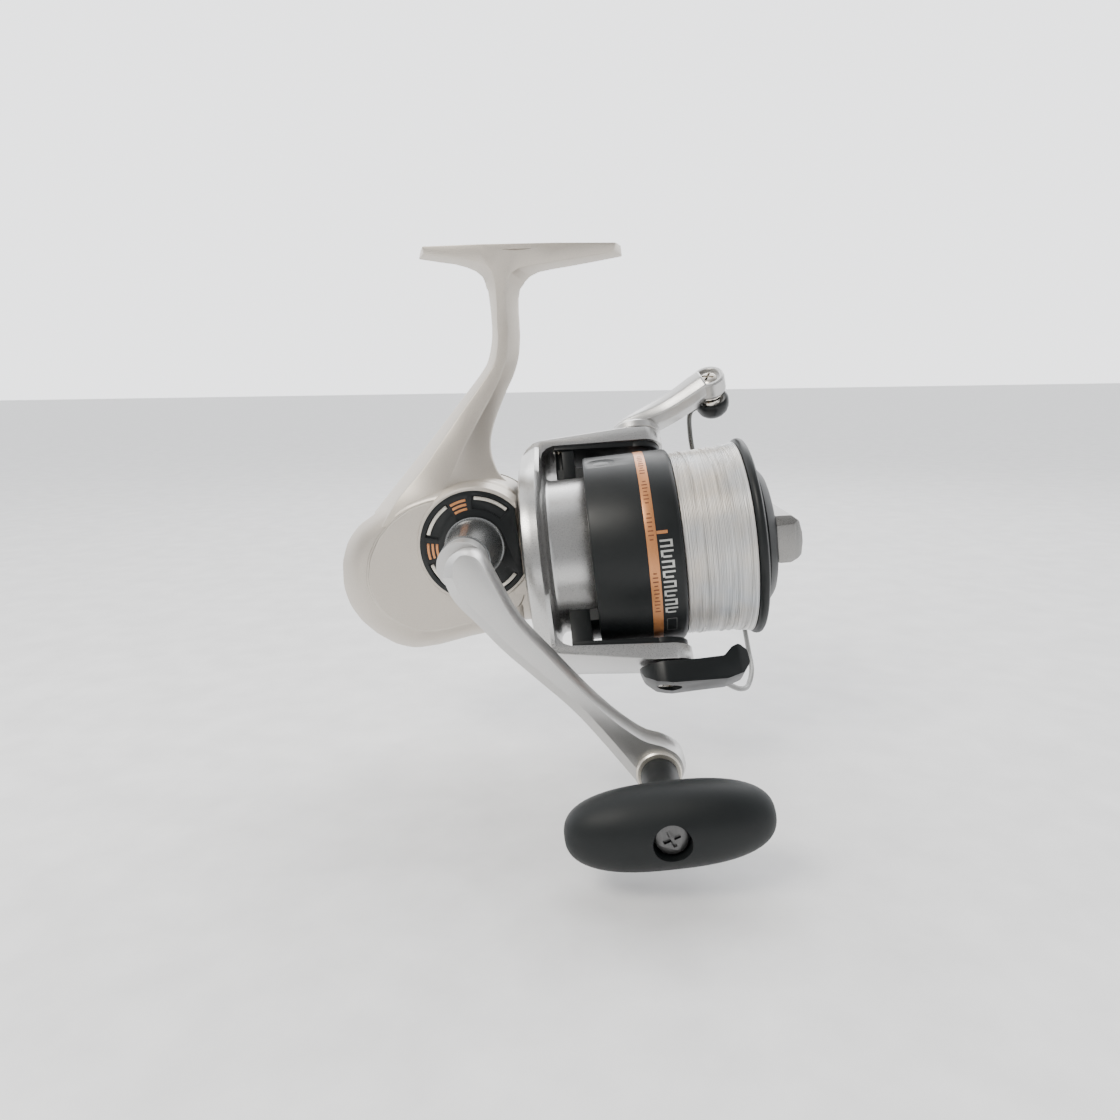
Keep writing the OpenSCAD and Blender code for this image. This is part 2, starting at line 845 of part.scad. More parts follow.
module bail_arm()
    color("silver")
        on_rotor()
            difference() {
                union() {
                    rod_z(arm_out + 0.3, 45.2, 8.8, pivot_x);
                    hull() {
                        rod_z(44, 47.4, 7.4, pivot_x);
                        translate([33, -3, 50.2])
                            sphere(r = 4.6, $fn = 32);
                    }
                    hull() {
                        translate([33, -3, 50.2])
                            sphere(r = 4.6, $fn = 32);
                        along(roller_start, roller_dir)
                            translate([0, 0, 0.4])
                                cylinder(h = 5.4, r = 5.2, $fn = 32);
                    }
                    along(roller_start, roller_dir)
                        cylinder(h = 7, r = 5.8, $fn = 48);
                }
                along(roller_start, roller_dir) {
                    translate([0, 0, 7])
                        cylinder(h = 12, r = 6.7, $fn = 48);
                    translate([0, 0, -1])
                        cylinder(h = 12, r = 1.6, $fn = 32);
                    translate([0, 0, -1])
                        cylinder(h = 2.4, r = 4.1, $fn = 48);
                }
                rod_z(30, 44.8, 1.6, pivot_x);
            }

module roller_screw()
    color("gainsboro")
        on_rotor()
            along(roller_start, roller_dir)
                translate([0, 0, 1.4])
                    rotate([180, 0, 0])
                        cross_screw(3.7, 1.3, 1.55, 11.6);

module roller_bush()
    color("white")
        on_rotor()
            along(roller_start, roller_dir)
                translate([0, 0, 7])
                    difference() {
                        cylinder(h = 4, r = 2.2, $fn = 40);
                        translate([0, 0, -1])
                            cylinder(h = 6, r = 1.6, $fn = 40);
                    }

module line_roller()
    color("gainsboro")
        on_rotor()
            along(roller_start, roller_dir)
                difference() {
                    rotate_extrude($fn = 64)
                        polygon([[2.2 + run, 7.15], [4.4, 7.15], [4.4, 7.6], [3.2, 8.6], [3.2, 9.6],
                            [3.9, 10.4], [3.9, 10.85], [2.2 + run, 10.85]]);
                }

module line_guide_cap()
    color("#222222")
        on_rotor()
            difference() {
                along(roller_start, roller_dir)
                    difference() {
                        rotate_extrude($fn = 64)
                            polygon([[0, 11], [3.9, 11], [4.25, 10], [5.4, 9.6], [6.1, 11],
                                [5.9, 13.4], [4.6, 15.6], [2.6, 16.8], [0, 17.2]]);
                        translate([0, 0, 10])
                            cylinder(h = 5, r = 1.55, $fn = 32);
                    }
                bow(bow_r + 0.02);
            }

// Route of the bow from the line guide cap round the far side to the lower lever
bow_points = [[48.4, 2.6, 51.4], [46, 5.5, 53.6], [43, 8.6, 54.8], [41.6, 12.5, 52], [42, 18.5, 45.4],
    [45, 31, 35.5], [49.5, 44, 21], [54, 53, 4], [55.4, 54, -14], [54.6, 48, -28],
    [53.4, 41.5, -37], [50, 34.5, -44], [46, 26, -46.6], [41.5, 16.5, -47], [38.4, 9, -46.6],
    [36.6, 4.5, -46.4]];

bow_r = 0.9;

module bow(radius)
    wire(smooth_path(bow_points, 4), radius, 10);

module bail_wire()
    color("gray")
        on_rotor()
            bow(bow_r);

// Side view of the lower bail lever as [x, z]
lever_side = [[11, -43], [12.4, -46], [16, -48.4], [21, -49.4], [38, -49.4], [43.5, -47.8],
    [46, -44.4], [45.6, -40.4], [43, -38.4], [40.6, -39.4], [38, -42], [30, -42.4], [11, -42.4]];

module bail_lever()
    color("#222222")
        on_rotor()
            difference() {
                intersection() {
                    slab(lever_side, -9, 9);
                    union() {
                        rod_z(-60, -30, 8.8, pivot_x);
                        plate([[20, -8.6], [36, -6.6], [43, -5.6], [46.5, -3.5], [46.5, 3.5],
                            [43, 5.6], [36, 6.6], [20, 8.6]], -60, -30);
                    }
                }
                rod_z(-60, -30, 1.6, pivot_x);
                rod_z(-60, -46.6, 3.9, pivot_x);
                bow(bow_r + 0.02);
            }

module bail_pivot_screws()
    color("silver")
        on_rotor() {
            translate([pivot_x, 0, 36.5])
                rotate([180, 0, 0])
                    cross_screw(2.6, 1.2, 1.55, 8.2);
            translate([pivot_x, 0, -46.6])
                rotate([180, 0, 0])
                    cross_screw(3.6, 1.6, 1.55, 10.4);
        }

// ---------------------------------------------------------------- spool shaft and spool

module main_shaft()
    color("lightgray")
        placed() {
            rod_x(-68.5, 62, shaft_r);
            rod_x(25.2, 26.4, 3.2);
        }

module slider_block()
    color("dimgray")
        placed()
            difference() {
                translate([slider_x - 3.5, -2.3, -13])
                    cube([7, 6.6, 26]);
                rod_x(-90, 0, shaft_r);
                rod_x(-90, 0, 1.1 + run, -0.6, -9.5);
                translate([slider_x - 1.75, 2.4, -11.6])
                    cube([3.5, 4, 23.2]);
                rod_z(1, 14, 0.9, slider_x, 0.4);
            }

module slider_screw()
    color("silver")
        placed()
            translate([slider_x, 0.4, 13])
                cross_screw(1.9, 0.9, 0.9, 11);

module spool_support_washer()
    color("white")
        placed()
            tube_x(26.4, 26.75, 4.6, shaft_r);

// Where the line clip sits on the skirt
clip_angle = 16;
clip_ends = [3.9, 8.1];

skirt_profile = [[29.9, 0], [skirt_r - 0.5, 0], [skirt_r, 0.6], [skirt_r, 17], [skirt_r - 0.5, 17],
    [skirt_r - 0.5, 20.2], [skirt_r, 20.2], [skirt_r, 27.2], [skirt_r - 1, 28.4], [18, 28.4],
    [18, 50.4], [4, 50.4], [4, 46.4], [shaft_r + run, 46.4], [shaft_r + run, 27], [29, 25.6],
    [29.9, 24]];

module spool_body()
    color("#202020")
        placed()
            difference() {
                turned(skirt_profile);
                // drag stack well in the front of the arbor
                rod_x(46.6, 60, 14);
                // line clip seat in the skirt
                rotate([clip_angle, 0, 0])
                    for (x = clip_ends)
                        rod_z(31.2, 40, 2.4, x);
            }

module line_clip()
    color("#333333")
        placed()
            rotate([clip_angle, 0, 0]) {
                for (x = clip_ends)
                    rod_z(31.2, 32.3, 2.2, x);
                translate([clip_ends[0], -1.1, 31.3])
                    cube([clip_ends[1] - clip_ends[0], 2.2, 0.9]);
            }

module spool_band()
    color("#c8713a")
        placed()
            turned([[skirt_r - 0.5, 17], [skirt_r + 0.06, 17], [skirt_r + 0.06, 20.2],
                [skirt_r - 0.5, 20.2]]);

module fishing_line()
    color("whitesmoke")
        placed()
            turned([[18, 28.4], [line_rear_r, 28.6], [line_rear_r, 30], [line_rear_r + 0.3, 38],
                [line_front_r - 0.5, 46], [line_front_r, 50.3], [18, 50.4]]);

module spool_front_rim()
    color("#202020")
        placed()
            turned([[14, 50.4], [32.2, 50.4], [lip_r, 51.4], [lip_r, 52.8], [32.4, 53.4],
                [25, 54.4], [23.9, 53.2], [14, 53.2]]);

washer_w = 0.8;
stack_x = 46.6;
module friction_washers()
    color("tan")
        placed()
            for (i = [0 : 2])
                tube_x(stack_x + 2 * i * washer_w, stack_x + (2 * i + 1) * washer_w, 12.6, 3);

// Turns with the main shaft
module keyed_washer()
    color("lightgray")
        placed()
            tube_x(stack_x + washer_w + 0.1, stack_x + 2 * washer_w - 0.1, 12.2, shaft_r);

// Turns with the spool: its two ears lie in the well's wall
module eared_washer()
    color("lightgray")
        placed()
            tube_x(stack_x + 3 * washer_w, stack_x + 4 * washer_w, 13.9, 3);

module drag_clip()
    color("gray")
        placed()
            difference() {
                tube_x(51.4, 52.2, 14, 12.4);
                translate([50, -2, -20])
                    cube([4, 4, 12]);
            }

module drag_knob()
    color("#202020")
        placed()
            difference() {
                turned([[shaft_r + 0.2, 50.9], [11.8, 50.9], [11.8, 55], [23.6, 55], [24, 55.4],
                    [20.9, 58.2], [19.6, 58.8], [9, 59.3], [shaft_r + 0.2, 59.3]]);
                rod_x(50, 57, 6);
                for (i = [0 : 23])
                    rotate([i * 15, 0, 0])
                        rod_x(54, 60, 0.7, 0, 24.4);
            }

// Finger bar across the front of the drag knob
module drag_knob_grip()
    color("#8c8880")
        placed()
            difference() {
                intersection() {
                    slab([[59.3, -7.2], [63.5, -7.4], [67, -5], [67.7, -1], [67.7, 2], [66.6, 6.4],
                        [64.6, 8], [59.3, 8.3]], -17, 17);
                    rod_x(50, 70, 18.5);
                }
                rod_x(50, 63.5, 2.6);
            }

module drag_nut()
    color("gray")
        placed()
            difference() {
                translate([54.6, 0, 0])
                    rotate([0, 90, 0])
                        cylinder(h = 2.4, r = 4.6, $fn = 6);
                rod_x(50, 60, shaft_r + run);
            }

module drag_spring()
    color("lightgray")
        placed()
            translate([52.5, 0, 0])
                rotate([0, 90, 0])
                    coil(3.6, 0.35, 1.7, 2);

// ---------------------------------------------------------------- nodes

body_housing();
side_cover();
side_cover_screws();
hub_trim_plate();
trim_silver_arcs();
trim_orange_bars();
drive_bearing_left();
drive_bearing_right();
pinion_bearing();
one_way_clutch();
bearing_retainer();
retainer_screws();
slider_guide_rail();
oscillation_post();
drive_gear();
oscillation_drive_gear();
handle_shaft();
handle_sleeve();
handle_arm();
handle_screw_cap();
knob_pin();
knob_base_ring();
knob_grip();
knob_screw();
oscillation_gear();
rotor();
pinion_gear();
clutch_sleeve();
rotor_nut();
rotor_nut_lock();
arm_cover_upper();
arm_cover_lower();
arm_cover_screws();
bail_spring();
bail_spring_rod();
bail_arm();
bail_lever();
bail_wire();
bail_pivot_screws();
line_guide_cap();
roller_screw();
roller_bush();
line_roller();
main_shaft();
slider_block();
slider_screw();
spool_support_washer();
spool_body();
spool_front_rim();
spool_band();
fishing_line();
line_clip();
friction_washers();
keyed_washer();
eared_washer();
drag_clip();
drag_knob();
drag_knob_grip();
drag_nut();
drag_spring();
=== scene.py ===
"""Looks of a front-drag spinning reel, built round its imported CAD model."""

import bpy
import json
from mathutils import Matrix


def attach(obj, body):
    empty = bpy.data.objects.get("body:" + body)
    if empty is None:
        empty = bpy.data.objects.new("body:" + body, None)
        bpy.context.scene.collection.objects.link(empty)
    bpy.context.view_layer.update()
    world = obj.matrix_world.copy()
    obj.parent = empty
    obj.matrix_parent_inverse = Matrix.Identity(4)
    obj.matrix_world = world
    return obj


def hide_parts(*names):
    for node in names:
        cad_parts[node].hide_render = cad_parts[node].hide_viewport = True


bl_info = {
    "name": "Spinning reel looks",
    "version": (1, 0, 0),
    "blender": (4, 5, 0),
    "location": "3D View > Sidebar > Reel",
    "description": "Builds the castings, bail, spool and finishes of a spinning reel",
    "category": "Object",
}

import json
import math
import random

import bmesh
import bpy
from bpy.props import FloatProperty, FloatVectorProperty, IntProperty, PointerProperty
from mathutils import Matrix, Vector

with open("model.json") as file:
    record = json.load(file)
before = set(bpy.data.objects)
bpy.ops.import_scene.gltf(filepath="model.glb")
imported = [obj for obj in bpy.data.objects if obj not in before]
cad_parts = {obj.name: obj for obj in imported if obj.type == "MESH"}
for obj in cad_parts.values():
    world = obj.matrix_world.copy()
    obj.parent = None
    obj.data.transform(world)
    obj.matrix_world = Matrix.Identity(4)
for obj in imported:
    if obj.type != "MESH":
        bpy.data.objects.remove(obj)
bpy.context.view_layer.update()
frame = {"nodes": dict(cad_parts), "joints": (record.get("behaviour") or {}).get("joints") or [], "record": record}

# ---------------------------------------------------------------- frames

JOINTS = {joint["name"]: joint for joint in frame["joints"]}
SLOTS = {part["node"]: part["material_slot"] for part in frame["record"]["subparts"]}
MM = Matrix.Scale(0.001, 4)


def axes_at(origin, x_axis, y_axis):
    """Matrix from millimetres in a local frame to metres in the row frame."""
    z_axis = x_axis.cross(y_axis)
    turn = Matrix((x_axis, y_axis, z_axis)).transposed().to_4x4()
    return Matrix.Translation(origin) @ turn @ MM


SPOOL_AXIS = Vector(JOINTS["rotor_spin"]["axis"])
SPOOL_ORIGIN = Vector(JOINTS["rotor_spin"]["pos_m"])
PIVOT_DOWN = Vector(JOINTS["bail_flip"]["axis"])

# Row frame, spool frame (X along the spool) and rotor frame (Z along the upper arm), all in mm
ROW = MM
SPOOL = axes_at(SPOOL_ORIGIN, SPOOL_AXIS, Vector((0, 1, 0)))
ROTOR = axes_at(SPOOL_ORIGIN, SPOOL_AXIS, -PIVOT_DOWN.cross(SPOOL_AXIS))
FLIPPED = ROTOR @ Matrix.Rotation(math.pi, 4, "X")

AXLE = SPOOL.inverted() @ Vector(JOINTS["handle_turn"]["pos_m"])
KNOB = SPOOL.inverted() @ Vector(JOINTS["knob_spin"]["pos_m"])
ROLLER = ROTOR.inverted() @ Vector(JOINTS["line_roller_spin"]["pos_m"])
ROLLER_AXIS = (ROTOR.inverted().to_3x3() @ Vector(JOINTS["line_roller_spin"]["axis"])).normalized()

# The roller's joint lies this far along the roller screw's axis
ROLLER_DEPTH = 9.0
ROLLER_TURN = ROLLER_AXIS.to_track_quat("Z", "Y").to_matrix().to_4x4()
ROLLER_PLACE = ROTOR @ Matrix.Translation(ROLLER - ROLLER_DEPTH * ROLLER_AXIS) @ ROLLER_TURN

TURN = 2 * math.pi


# ---------------------------------------------------------------- settings


class ReelPaint(bpy.types.PropertyGroup):
    """Colours of the reel's finishes."""

    silver: FloatVectorProperty(
        name="Body silver", description="Satin paint of the castings",
        subtype="COLOR", size=3, default=(0.56, 0.515, 0.455), min=0, max=1)
    rotor_silver: FloatVectorProperty(
        name="Rotor silver", description="Cooler satin paint of the rotor and bail arm",
        subtype="COLOR", size=3, default=(0.56, 0.555, 0.545), min=0, max=1)
    pale_silver: FloatVectorProperty(
        name="Pale silver", description="Machined rims and arcs",
        subtype="COLOR", size=3, default=(0.72, 0.68, 0.60), min=0, max=1)
    orange: FloatVectorProperty(
        name="Copper orange", description="Band on the spool and bars on the trim plate",
        subtype="COLOR", size=3, default=(0.62, 0.26, 0.10), min=0, max=1)
    black: FloatVectorProperty(
        name="Black", description="Plastic covers and the painted skirt",
        subtype="COLOR", size=3, default=(0.006, 0.0075, 0.008), min=0, max=1)
    line: FloatVectorProperty(
        name="Line", description="Nylon line",
        subtype="COLOR", size=3, default=(0.78, 0.76, 0.73), min=0, max=1)


class ReelSizes(bpy.types.PropertyGroup):
    """Sizes that only the looks use, in millimetres."""

    strand: FloatProperty(
        name="Line diameter", description="Spacing of the wound turns",
        default=0.45, min=0.3, max=1.0)
    round_steps: IntProperty(
        name="Round steps", description="Facets round a turned piece",
        default=128, min=48, max=192)
    seed: IntProperty(
        name="Seed", description="Seed of the wound line's unevenness", default=7, min=0)


def paint():
    return bpy.context.scene.reel_paint


def sizes():
    return bpy.context.scene.reel_sizes


# ---------------------------------------------------------------- shapes


def bar(outline, y0, y1):
    """An outline of (x, z) points pushed from y0 to y1."""
    bm = bmesh.new()
    face = bm.faces.new([bm.verts.new((x, y0, z)) for x, z in outline])
    grown = bmesh.ops.extrude_face_region(bm, geom=[face], use_keep_orig=True)["geom"]
    far = [item for item in grown if isinstance(item, bmesh.types.BMVert)]
    bmesh.ops.translate(bm, verts=far, vec=(0, y1 - y0, 0))
    bmesh.ops.recalc_face_normals(bm, faces=bm.faces)
    return bm


def turned(profile, steps=None, axis="X"):
    """A profile of (radius, place) points turned round X or Z, closed unless it starts at 0."""
    bm = bmesh.new()
    steps = steps or sizes().round_steps
    if axis == "X":
        points, about = [(x, 0, r) for r, x in profile], (1, 0, 0)
    else:
        points, about = [(r, 0, z) for r, z in profile], (0, 0, 1)
    verts = [bm.verts.new(p) for p in points]
    pairs = list(zip(verts, verts[1:]))
    if profile[0][0] > 0:
        pairs.append((verts[-1], verts[0]))
    edges = [bm.edges.new(pair) for pair in pairs]
    bmesh.ops.spin(bm, geom=verts + edges, cent=(0, 0, 0), axis=about, dvec=(0, 0, 0),
                   angle=TURN, steps=steps, use_merge=True)
    return bm


def loft(rings, cap=True):
    """A skin over closed rings of points, each ring with as many points as the next."""
    bm = bmesh.new()
    loops = []
    for ring in rings:
        verts = [bm.verts.new(p) for p in ring]
        loops.append([bm.edges.new((a, b)) for a, b in zip(verts, verts[1:] + verts[:1])])
    for near, far in zip(loops, loops[1:]):
        bmesh.ops.bridge_loops(bm, edges=near + far)
    if cap:
        bmesh.ops.holes_fill(bm, edges=loops[0], sides=0)
        bmesh.ops.holes_fill(bm, edges=loops[-1], sides=0)
    return bm


def turn(bm, degrees, axis):
    bmesh.ops.rotate(bm, verts=bm.verts, cent=(0, 0, 0),
                     matrix=Matrix.Rotation(math.radians(degrees), 3, axis))


def shift(bm, x, y, z):
    bmesh.ops.translate(bm, verts=bm.verts, vec=(x, y, z))


def standing(spot, profile, steps=None):
    """A profile turned round the handle axle's or the knob's axis, its places along Y."""
    bm = turned(profile, steps, "Z")
    turn(bm, -90, "X")
    shift(bm, spot.x, 0, spot.z)
    return bm


def everything(bm):
    return list(bm.verts) + list(bm.edges) + list(bm.faces)


def cut_plane(bm, point, normal):
    """Keeps the part behind a plane and closes the cut."""
    cut = bmesh.ops.bisect_plane(bm, geom=everything(bm), plane_co=point, plane_no=normal,
                                 clear_outer=True)
    rim = [e for e in cut["geom_cut"] if isinstance(e, bmesh.types.BMEdge)]
    bmesh.ops.holes_fill(bm, edges=rim, sides=0)


def fan_cuts(bm, spot, radius, first, step, count):
    """Rounds an end by flat cuts, spread evenly in degrees round a spot on X."""
    for k in range(count):
        angle = math.radians(first + step * k)
        way = (math.cos(angle), math.sin(angle), 0)
        cut_plane(bm, (spot + radius * way[0], radius * way[1], 0), way)


def pare(bm, *planes):
    """Cuts on both sides by upright planes, each a point and a normal in X and Y."""
    for hand in (-1, 1):
        for (x, y), (ahead, aside) in planes:
            cut_plane(bm, (x, hand * y, 0), (ahead, hand * aside, 0))


def join(bm, other):
    """Adds another mesh to this one."""
    mesh = bpy.data.meshes.new("joined")
    other.to_mesh(mesh)
    other.free()
    bm.from_mesh(mesh)
    bpy.data.meshes.remove(mesh)


def smooth_points(points, steps):
    """Points on a smooth curve through a list of points or of rings' corners."""
    def at(i):
        return Vector(points[max(0, min(i, len(points) - 1))])

    curve = []
    for i in range(len(points) - 1):
        p0, p1, p2, p3 = at(i - 1), at(i), at(i + 1), at(i + 2)
        for k in range(steps):
            t = k / steps
            curve.append(0.5 * (2 * p1 + (p2 - p0) * t + (2 * p0 - 5 * p1 + 4 * p2 - p3) * t * t
                                + (3 * p1 - p0 - 3 * p2 + p3) * t ** 3))
    return curve + [at(len(points) - 1)]


def smooth_rings(rings, steps):
    """More rings between the given ones, on smooth curves through their corners."""
    lines = [smooth_points(line, steps) for line in zip(*rings)]
    return [list(ring) for ring in zip(*lines)]


def rounded(outline, radius, steps=5):
    """A closed flat outline with its corners rounded."""
    count = len(outline)
    result = []
    for i in range(count):
        corner = Vector(outline[i])
        back, ahead = Vector(outline[i - 1]) - corner, Vector(outline[(i + 1) % count]) - corner
        half = back.angle(ahead) / 2
        reach = min(radius / math.tan(half), 0.45 * back.length, 0.45 * ahead.length)
        start, end = corner + reach * back.normalized(), corner + reach * ahead.normalized()
        for k in range(steps + 1):
            t = k / steps
            result.append(tuple((1 - t) ** 2 * start + 2 * t * (1 - t) * corner + t * t * end))
    return result


def ray_outline(outline, centre, count):
    """The outline's points on evenly spread rays from a centre, so that outlines can be lofted."""
    centre = Vector(centre)
    edges = [(Vector(a) - centre, Vector(b) - centre)
             for a, b in zip(outline, outline[1:] + outline[:1])]
    result = []
    for k in range(count):
        way = Vector((math.cos(TURN * k / count), math.sin(TURN * k / count)))
        reach = 0
        for a, b in edges:
            span = b - a
            slant = way.x * span.y - way.y * span.x
            if abs(slant) > 1e-9:
                far = (a.x * span.y - a.y * span.x) / slant
                along = (a.x * way.y - a.y * way.x) / slant
                if far > 0 and -1e-6 <= along <= 1 + 1e-6:
                    reach = max(reach, far)
        result.append(tuple(centre + reach * way))
    return result


def tube(bm, path, radius, sides):
    """A round wire along a path."""
    loops = []
    last = len(path) - 1
    hint = Vector((0.31, 0.2, 0.93))
    for i, point in enumerate(path):
        way = (path[min(i + 1, last)] - path[max(i - 1, 0)]).normalized()
        side = way.cross(hint).normalized()
        facing = Matrix((side, way.cross(side), way)).transposed().to_4x4()
        ring = bmesh.ops.create_circle(bm, cap_ends=i in (0, last), segments=sides, radius=radius,
                                       matrix=Matrix.Translation(point) @ facing)["verts"]
        loops.append(list({e for v in ring for e in v.link_edges}))
    for near, far in zip(loops, loops[1:]):
        bmesh.ops.bridge_loops(bm, edges=near + far)


def sharp_edges(bm, angle):
    limit = math.radians(angle)
    return [e for e in bm.edges if len(e.link_faces) == 2 and e.calc_face_angle(0) > limit]


def bevel(bm, edges, width, segments):
    bmesh.ops.bevel(bm, geom=edges, offset=width, offset_type="OFFSET", segments=segments,
                    profile=0.5, affect="EDGES", clamp_overlap=True, material=-1)


def weld(bm):
    """Merges points that meet and turns every face outwards."""
    bmesh.ops.remove_doubles(bm, verts=bm.verts, dist=1e-4)
    bmesh.ops.recalc_face_normals(bm, faces=bm.faces)


def soften(bm, width, angle, segments, keep=None):
    """Rounds every edge sharper than angle, or only those that keep says yes to."""
    weld(bm)
    edges = [e for e in sharp_edges(bm, angle) if keep is None or keep(e)]
    bevel(bm, edges, width, segments)


def shade(bm, angle):
    """Smooth shading that stops at edges sharper than the angle."""
    limit = math.radians(angle)
    for face in bm.faces:
        face.smooth = True
    for edge in bm.edges:
        edge.smooth = len(edge.link_faces) == 2 and edge.calc_face_angle(0) < limit


def cut_out(target, cutter):
    """Takes the cutter's shape out of the target and applies it."""
    cut = target.modifiers.new("cut", "BOOLEAN")
    cut.operation = "DIFFERENCE"
    cut.solver = "EXACT"
    cut.object = cutter
    graph = bpy.context.evaluated_depsgraph_get()
    mesh = bpy.data.meshes.new_from_object(target.evaluated_get(graph))
    target.modifiers.clear()
    bm = bmesh.new()
    bm.from_mesh(mesh)
    shade(bm, 30)
    bm.to_mesh(mesh)
    bm.free()
    old = target.data
    target.data = mesh
    bpy.data.meshes.remove(old)
    gone = cutter.data
    bpy.data.objects.remove(cutter)
    bpy.data.meshes.remove(gone)


def new_piece(name, bm):
    mesh = bpy.data.meshes.new(name)
    bm.to_mesh(mesh)
    bm.free()
    piece = bpy.data.objects.new(name, mesh)
    bpy.context.scene.collection.objects.link(piece)
    return piece


def to_object(name, bm, place, smooth=32):
    """Makes the mesh an object in the row frame, in metres."""
    bmesh.ops.remove_doubles(bm, verts=bm.verts, dist=1e-4)
    bmesh.ops.transform(bm, matrix=place, verts=bm.verts)
    bmesh.ops.recalc_face_normals(bm, faces=bm.faces)
    shade(bm, smooth)
    return new_piece(name, bm)


def worked_copy(node, ending, width):
    """A merged copy of a CAD node with its edges rounded."""
    bm = bmesh.new()
    bm.from_mesh(frame["nodes"][node].data)
    bmesh.ops.remove_doubles(bm, verts=bm.verts, dist=2e-6)
    bmesh.ops.dissolve_limit(bm, angle_limit=math.radians(1.0), verts=bm.verts, edges=bm.edges)
    bevel(bm, sharp_edges(bm, 32), width / 1000, 2)
    shade(bm, 32)
    return new_piece(node + ending, bm)


def fit(piece, body, slot, *nodes, finish=None):
    """Gives a piece its finish and its body, and says which CAD nodes it stands for."""
    piece.data.materials.clear()
    piece.data.materials.append(FINISHES[finish or slot])
    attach(piece, body)
    if nodes:
        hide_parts(*nodes)


def add(name, bm, place, smooth, *fitting, finish=None):
    """Makes the mesh an object and fits it."""
    fit(to_object(name, bm, place, smooth), *fitting, finish=finish)


# ---------------------------------------------------------------- finishes


def finish_nodes(name):
    """A new material with its shader and object coordinates."""
    finish = bpy.data.materials.new(name)
    finish.use_nodes = True
    tree = finish.node_tree
    shader = tree.nodes["Principled BSDF"]
    place = tree.nodes.new("ShaderNodeTexCoord").outputs["Object"]
    return finish, tree, shader, place


# Turn of the finishes' streaks that lays them round the spool's axis
STREAK_TURN = (0, math.radians(-6), 0)


def give(tree, node, values):
    """Fills a node's inputs: a socket is linked and anything else is a fixed value."""
    for key, value in values.items():
        if isinstance(value, bpy.types.NodeSocket):
            tree.links.new(value, node.inputs[key])
        else:
            node.inputs[key].default_value = value


def noise(tree, place, scale, detail=3.0, stretch=None):
    if stretch:
        mapping = tree.nodes.new("ShaderNodeMapping")
        mapping.vector_type = "TEXTURE"
        give(tree, mapping, {"Rotation": STREAK_TURN, "Scale": stretch, "Vector": place})
        place = mapping.outputs["Vector"]
    texture = tree.nodes.new("ShaderNodeTexNoise")
    give(tree, texture, {"Scale": scale, "Detail": detail, "Vector": place})
    return texture.outputs["Fac"]


def spread(tree, value, low, high, from_low=0.3, from_high=0.7):
    reach = tree.nodes.new("ShaderNodeMapRange")
    give(tree, reach, {"From Min": from_low, "From Max": from_high, "To Min": low,
                       "To Max": high, "Value": value})
    return reach.outputs["Result"]


def two_tone(tree, value, dark, light, way="MIX"):
    mix = tree.nodes.new("ShaderNodeMix")
    mix.data_type = "RGBA"
    mix.blend_type = way
    give(tree, mix, {6: dark, 7: light, 0: value})
    return mix.outputs[2]


def bump(tree, shader, value, height, strength):
    relief = tree.nodes.new("ShaderNodeBump")
    give(tree, relief, {"Distance": height / 1000, "Strength": strength, "Height": value})
    give(tree, shader, {"Normal": relief.outputs["Normal"]})


def toned(colour, factor):
    return (*(min(1, c * factor) for c in colour), 1)


def metallic_paint(name, colour, rough, metal, flake=0.10, coat=0.15):
    """Satin metallic paint: fine flakes, slow drift in tone and a thin clear coat."""
    finish, tree, shader, place = finish_nodes(name)
    fine = noise(tree, place, 5200, 1.0)
    drift = noise(tree, place, 45, 2.0)
    tone = tree.nodes.new("ShaderNodeMath")
    tone.operation = "MULTIPLY_ADD"
    give(tree, tone, {0: drift, 1: 0.35, 2: spread(tree, fine, 0.0, 0.65, 0.35, 0.65)})
    give(tree, shader, {
        "Base Color": two_tone(tree, tone.outputs[0], toned(colour, 1 - flake),
                               toned(colour, 1 + flake)),
        "Roughness": spread(tree, fine, rough - 0.05, rough + 0.07), "Metallic": metal,
        "Coat Weight": coat, "Coat Roughness": 0.25})
    bump(tree, shader, fine, 0.012, 0.35)
    return finish


def moulded(name, colour, rough, grain, height, strength, coat=0.0, gloss=0.5):
    """Moulded plastic or rubber: fine grain and faint rubbed patches."""
    finish, tree, shader, place = finish_nodes(name)
    fine = noise(tree, place, grain, 3.0)
    patches = noise(tree, place, 60, 3.0)
    give(tree, shader, {
        "Base Color": two_tone(tree, patches, toned(colour, 0.8), toned(colour, 1.35)),
        "Roughness": spread(tree, patches, rough - 0.05, rough + 0.08),
        "Specular IOR Level": gloss, "Coat Weight": coat, "Coat Roughness": 0.3})
    bump(tree, shader, fine, height, strength)
    return finish


def turned_metal(name, colour, rough):
    """Bare metal with lathe marks: fine streaks that run round the spool's axis."""
    finish, tree, shader, place = finish_nodes(name)
    streaks = noise(tree, place, 1.0, 4.0, stretch=(0.0006, 0.02, 0.02))
    wear = noise(tree, place, 180, 4.0)
    give(tree, shader, {
        "Base Color": two_tone(tree, streaks, toned(colour, 0.88), toned(colour, 1.12)),
        "Roughness": spread(tree, wear, rough - 0.06, rough + 0.08), "Metallic": 1.0})
    bump(tree, shader, streaks, 0.02, 0.25)
    return finish


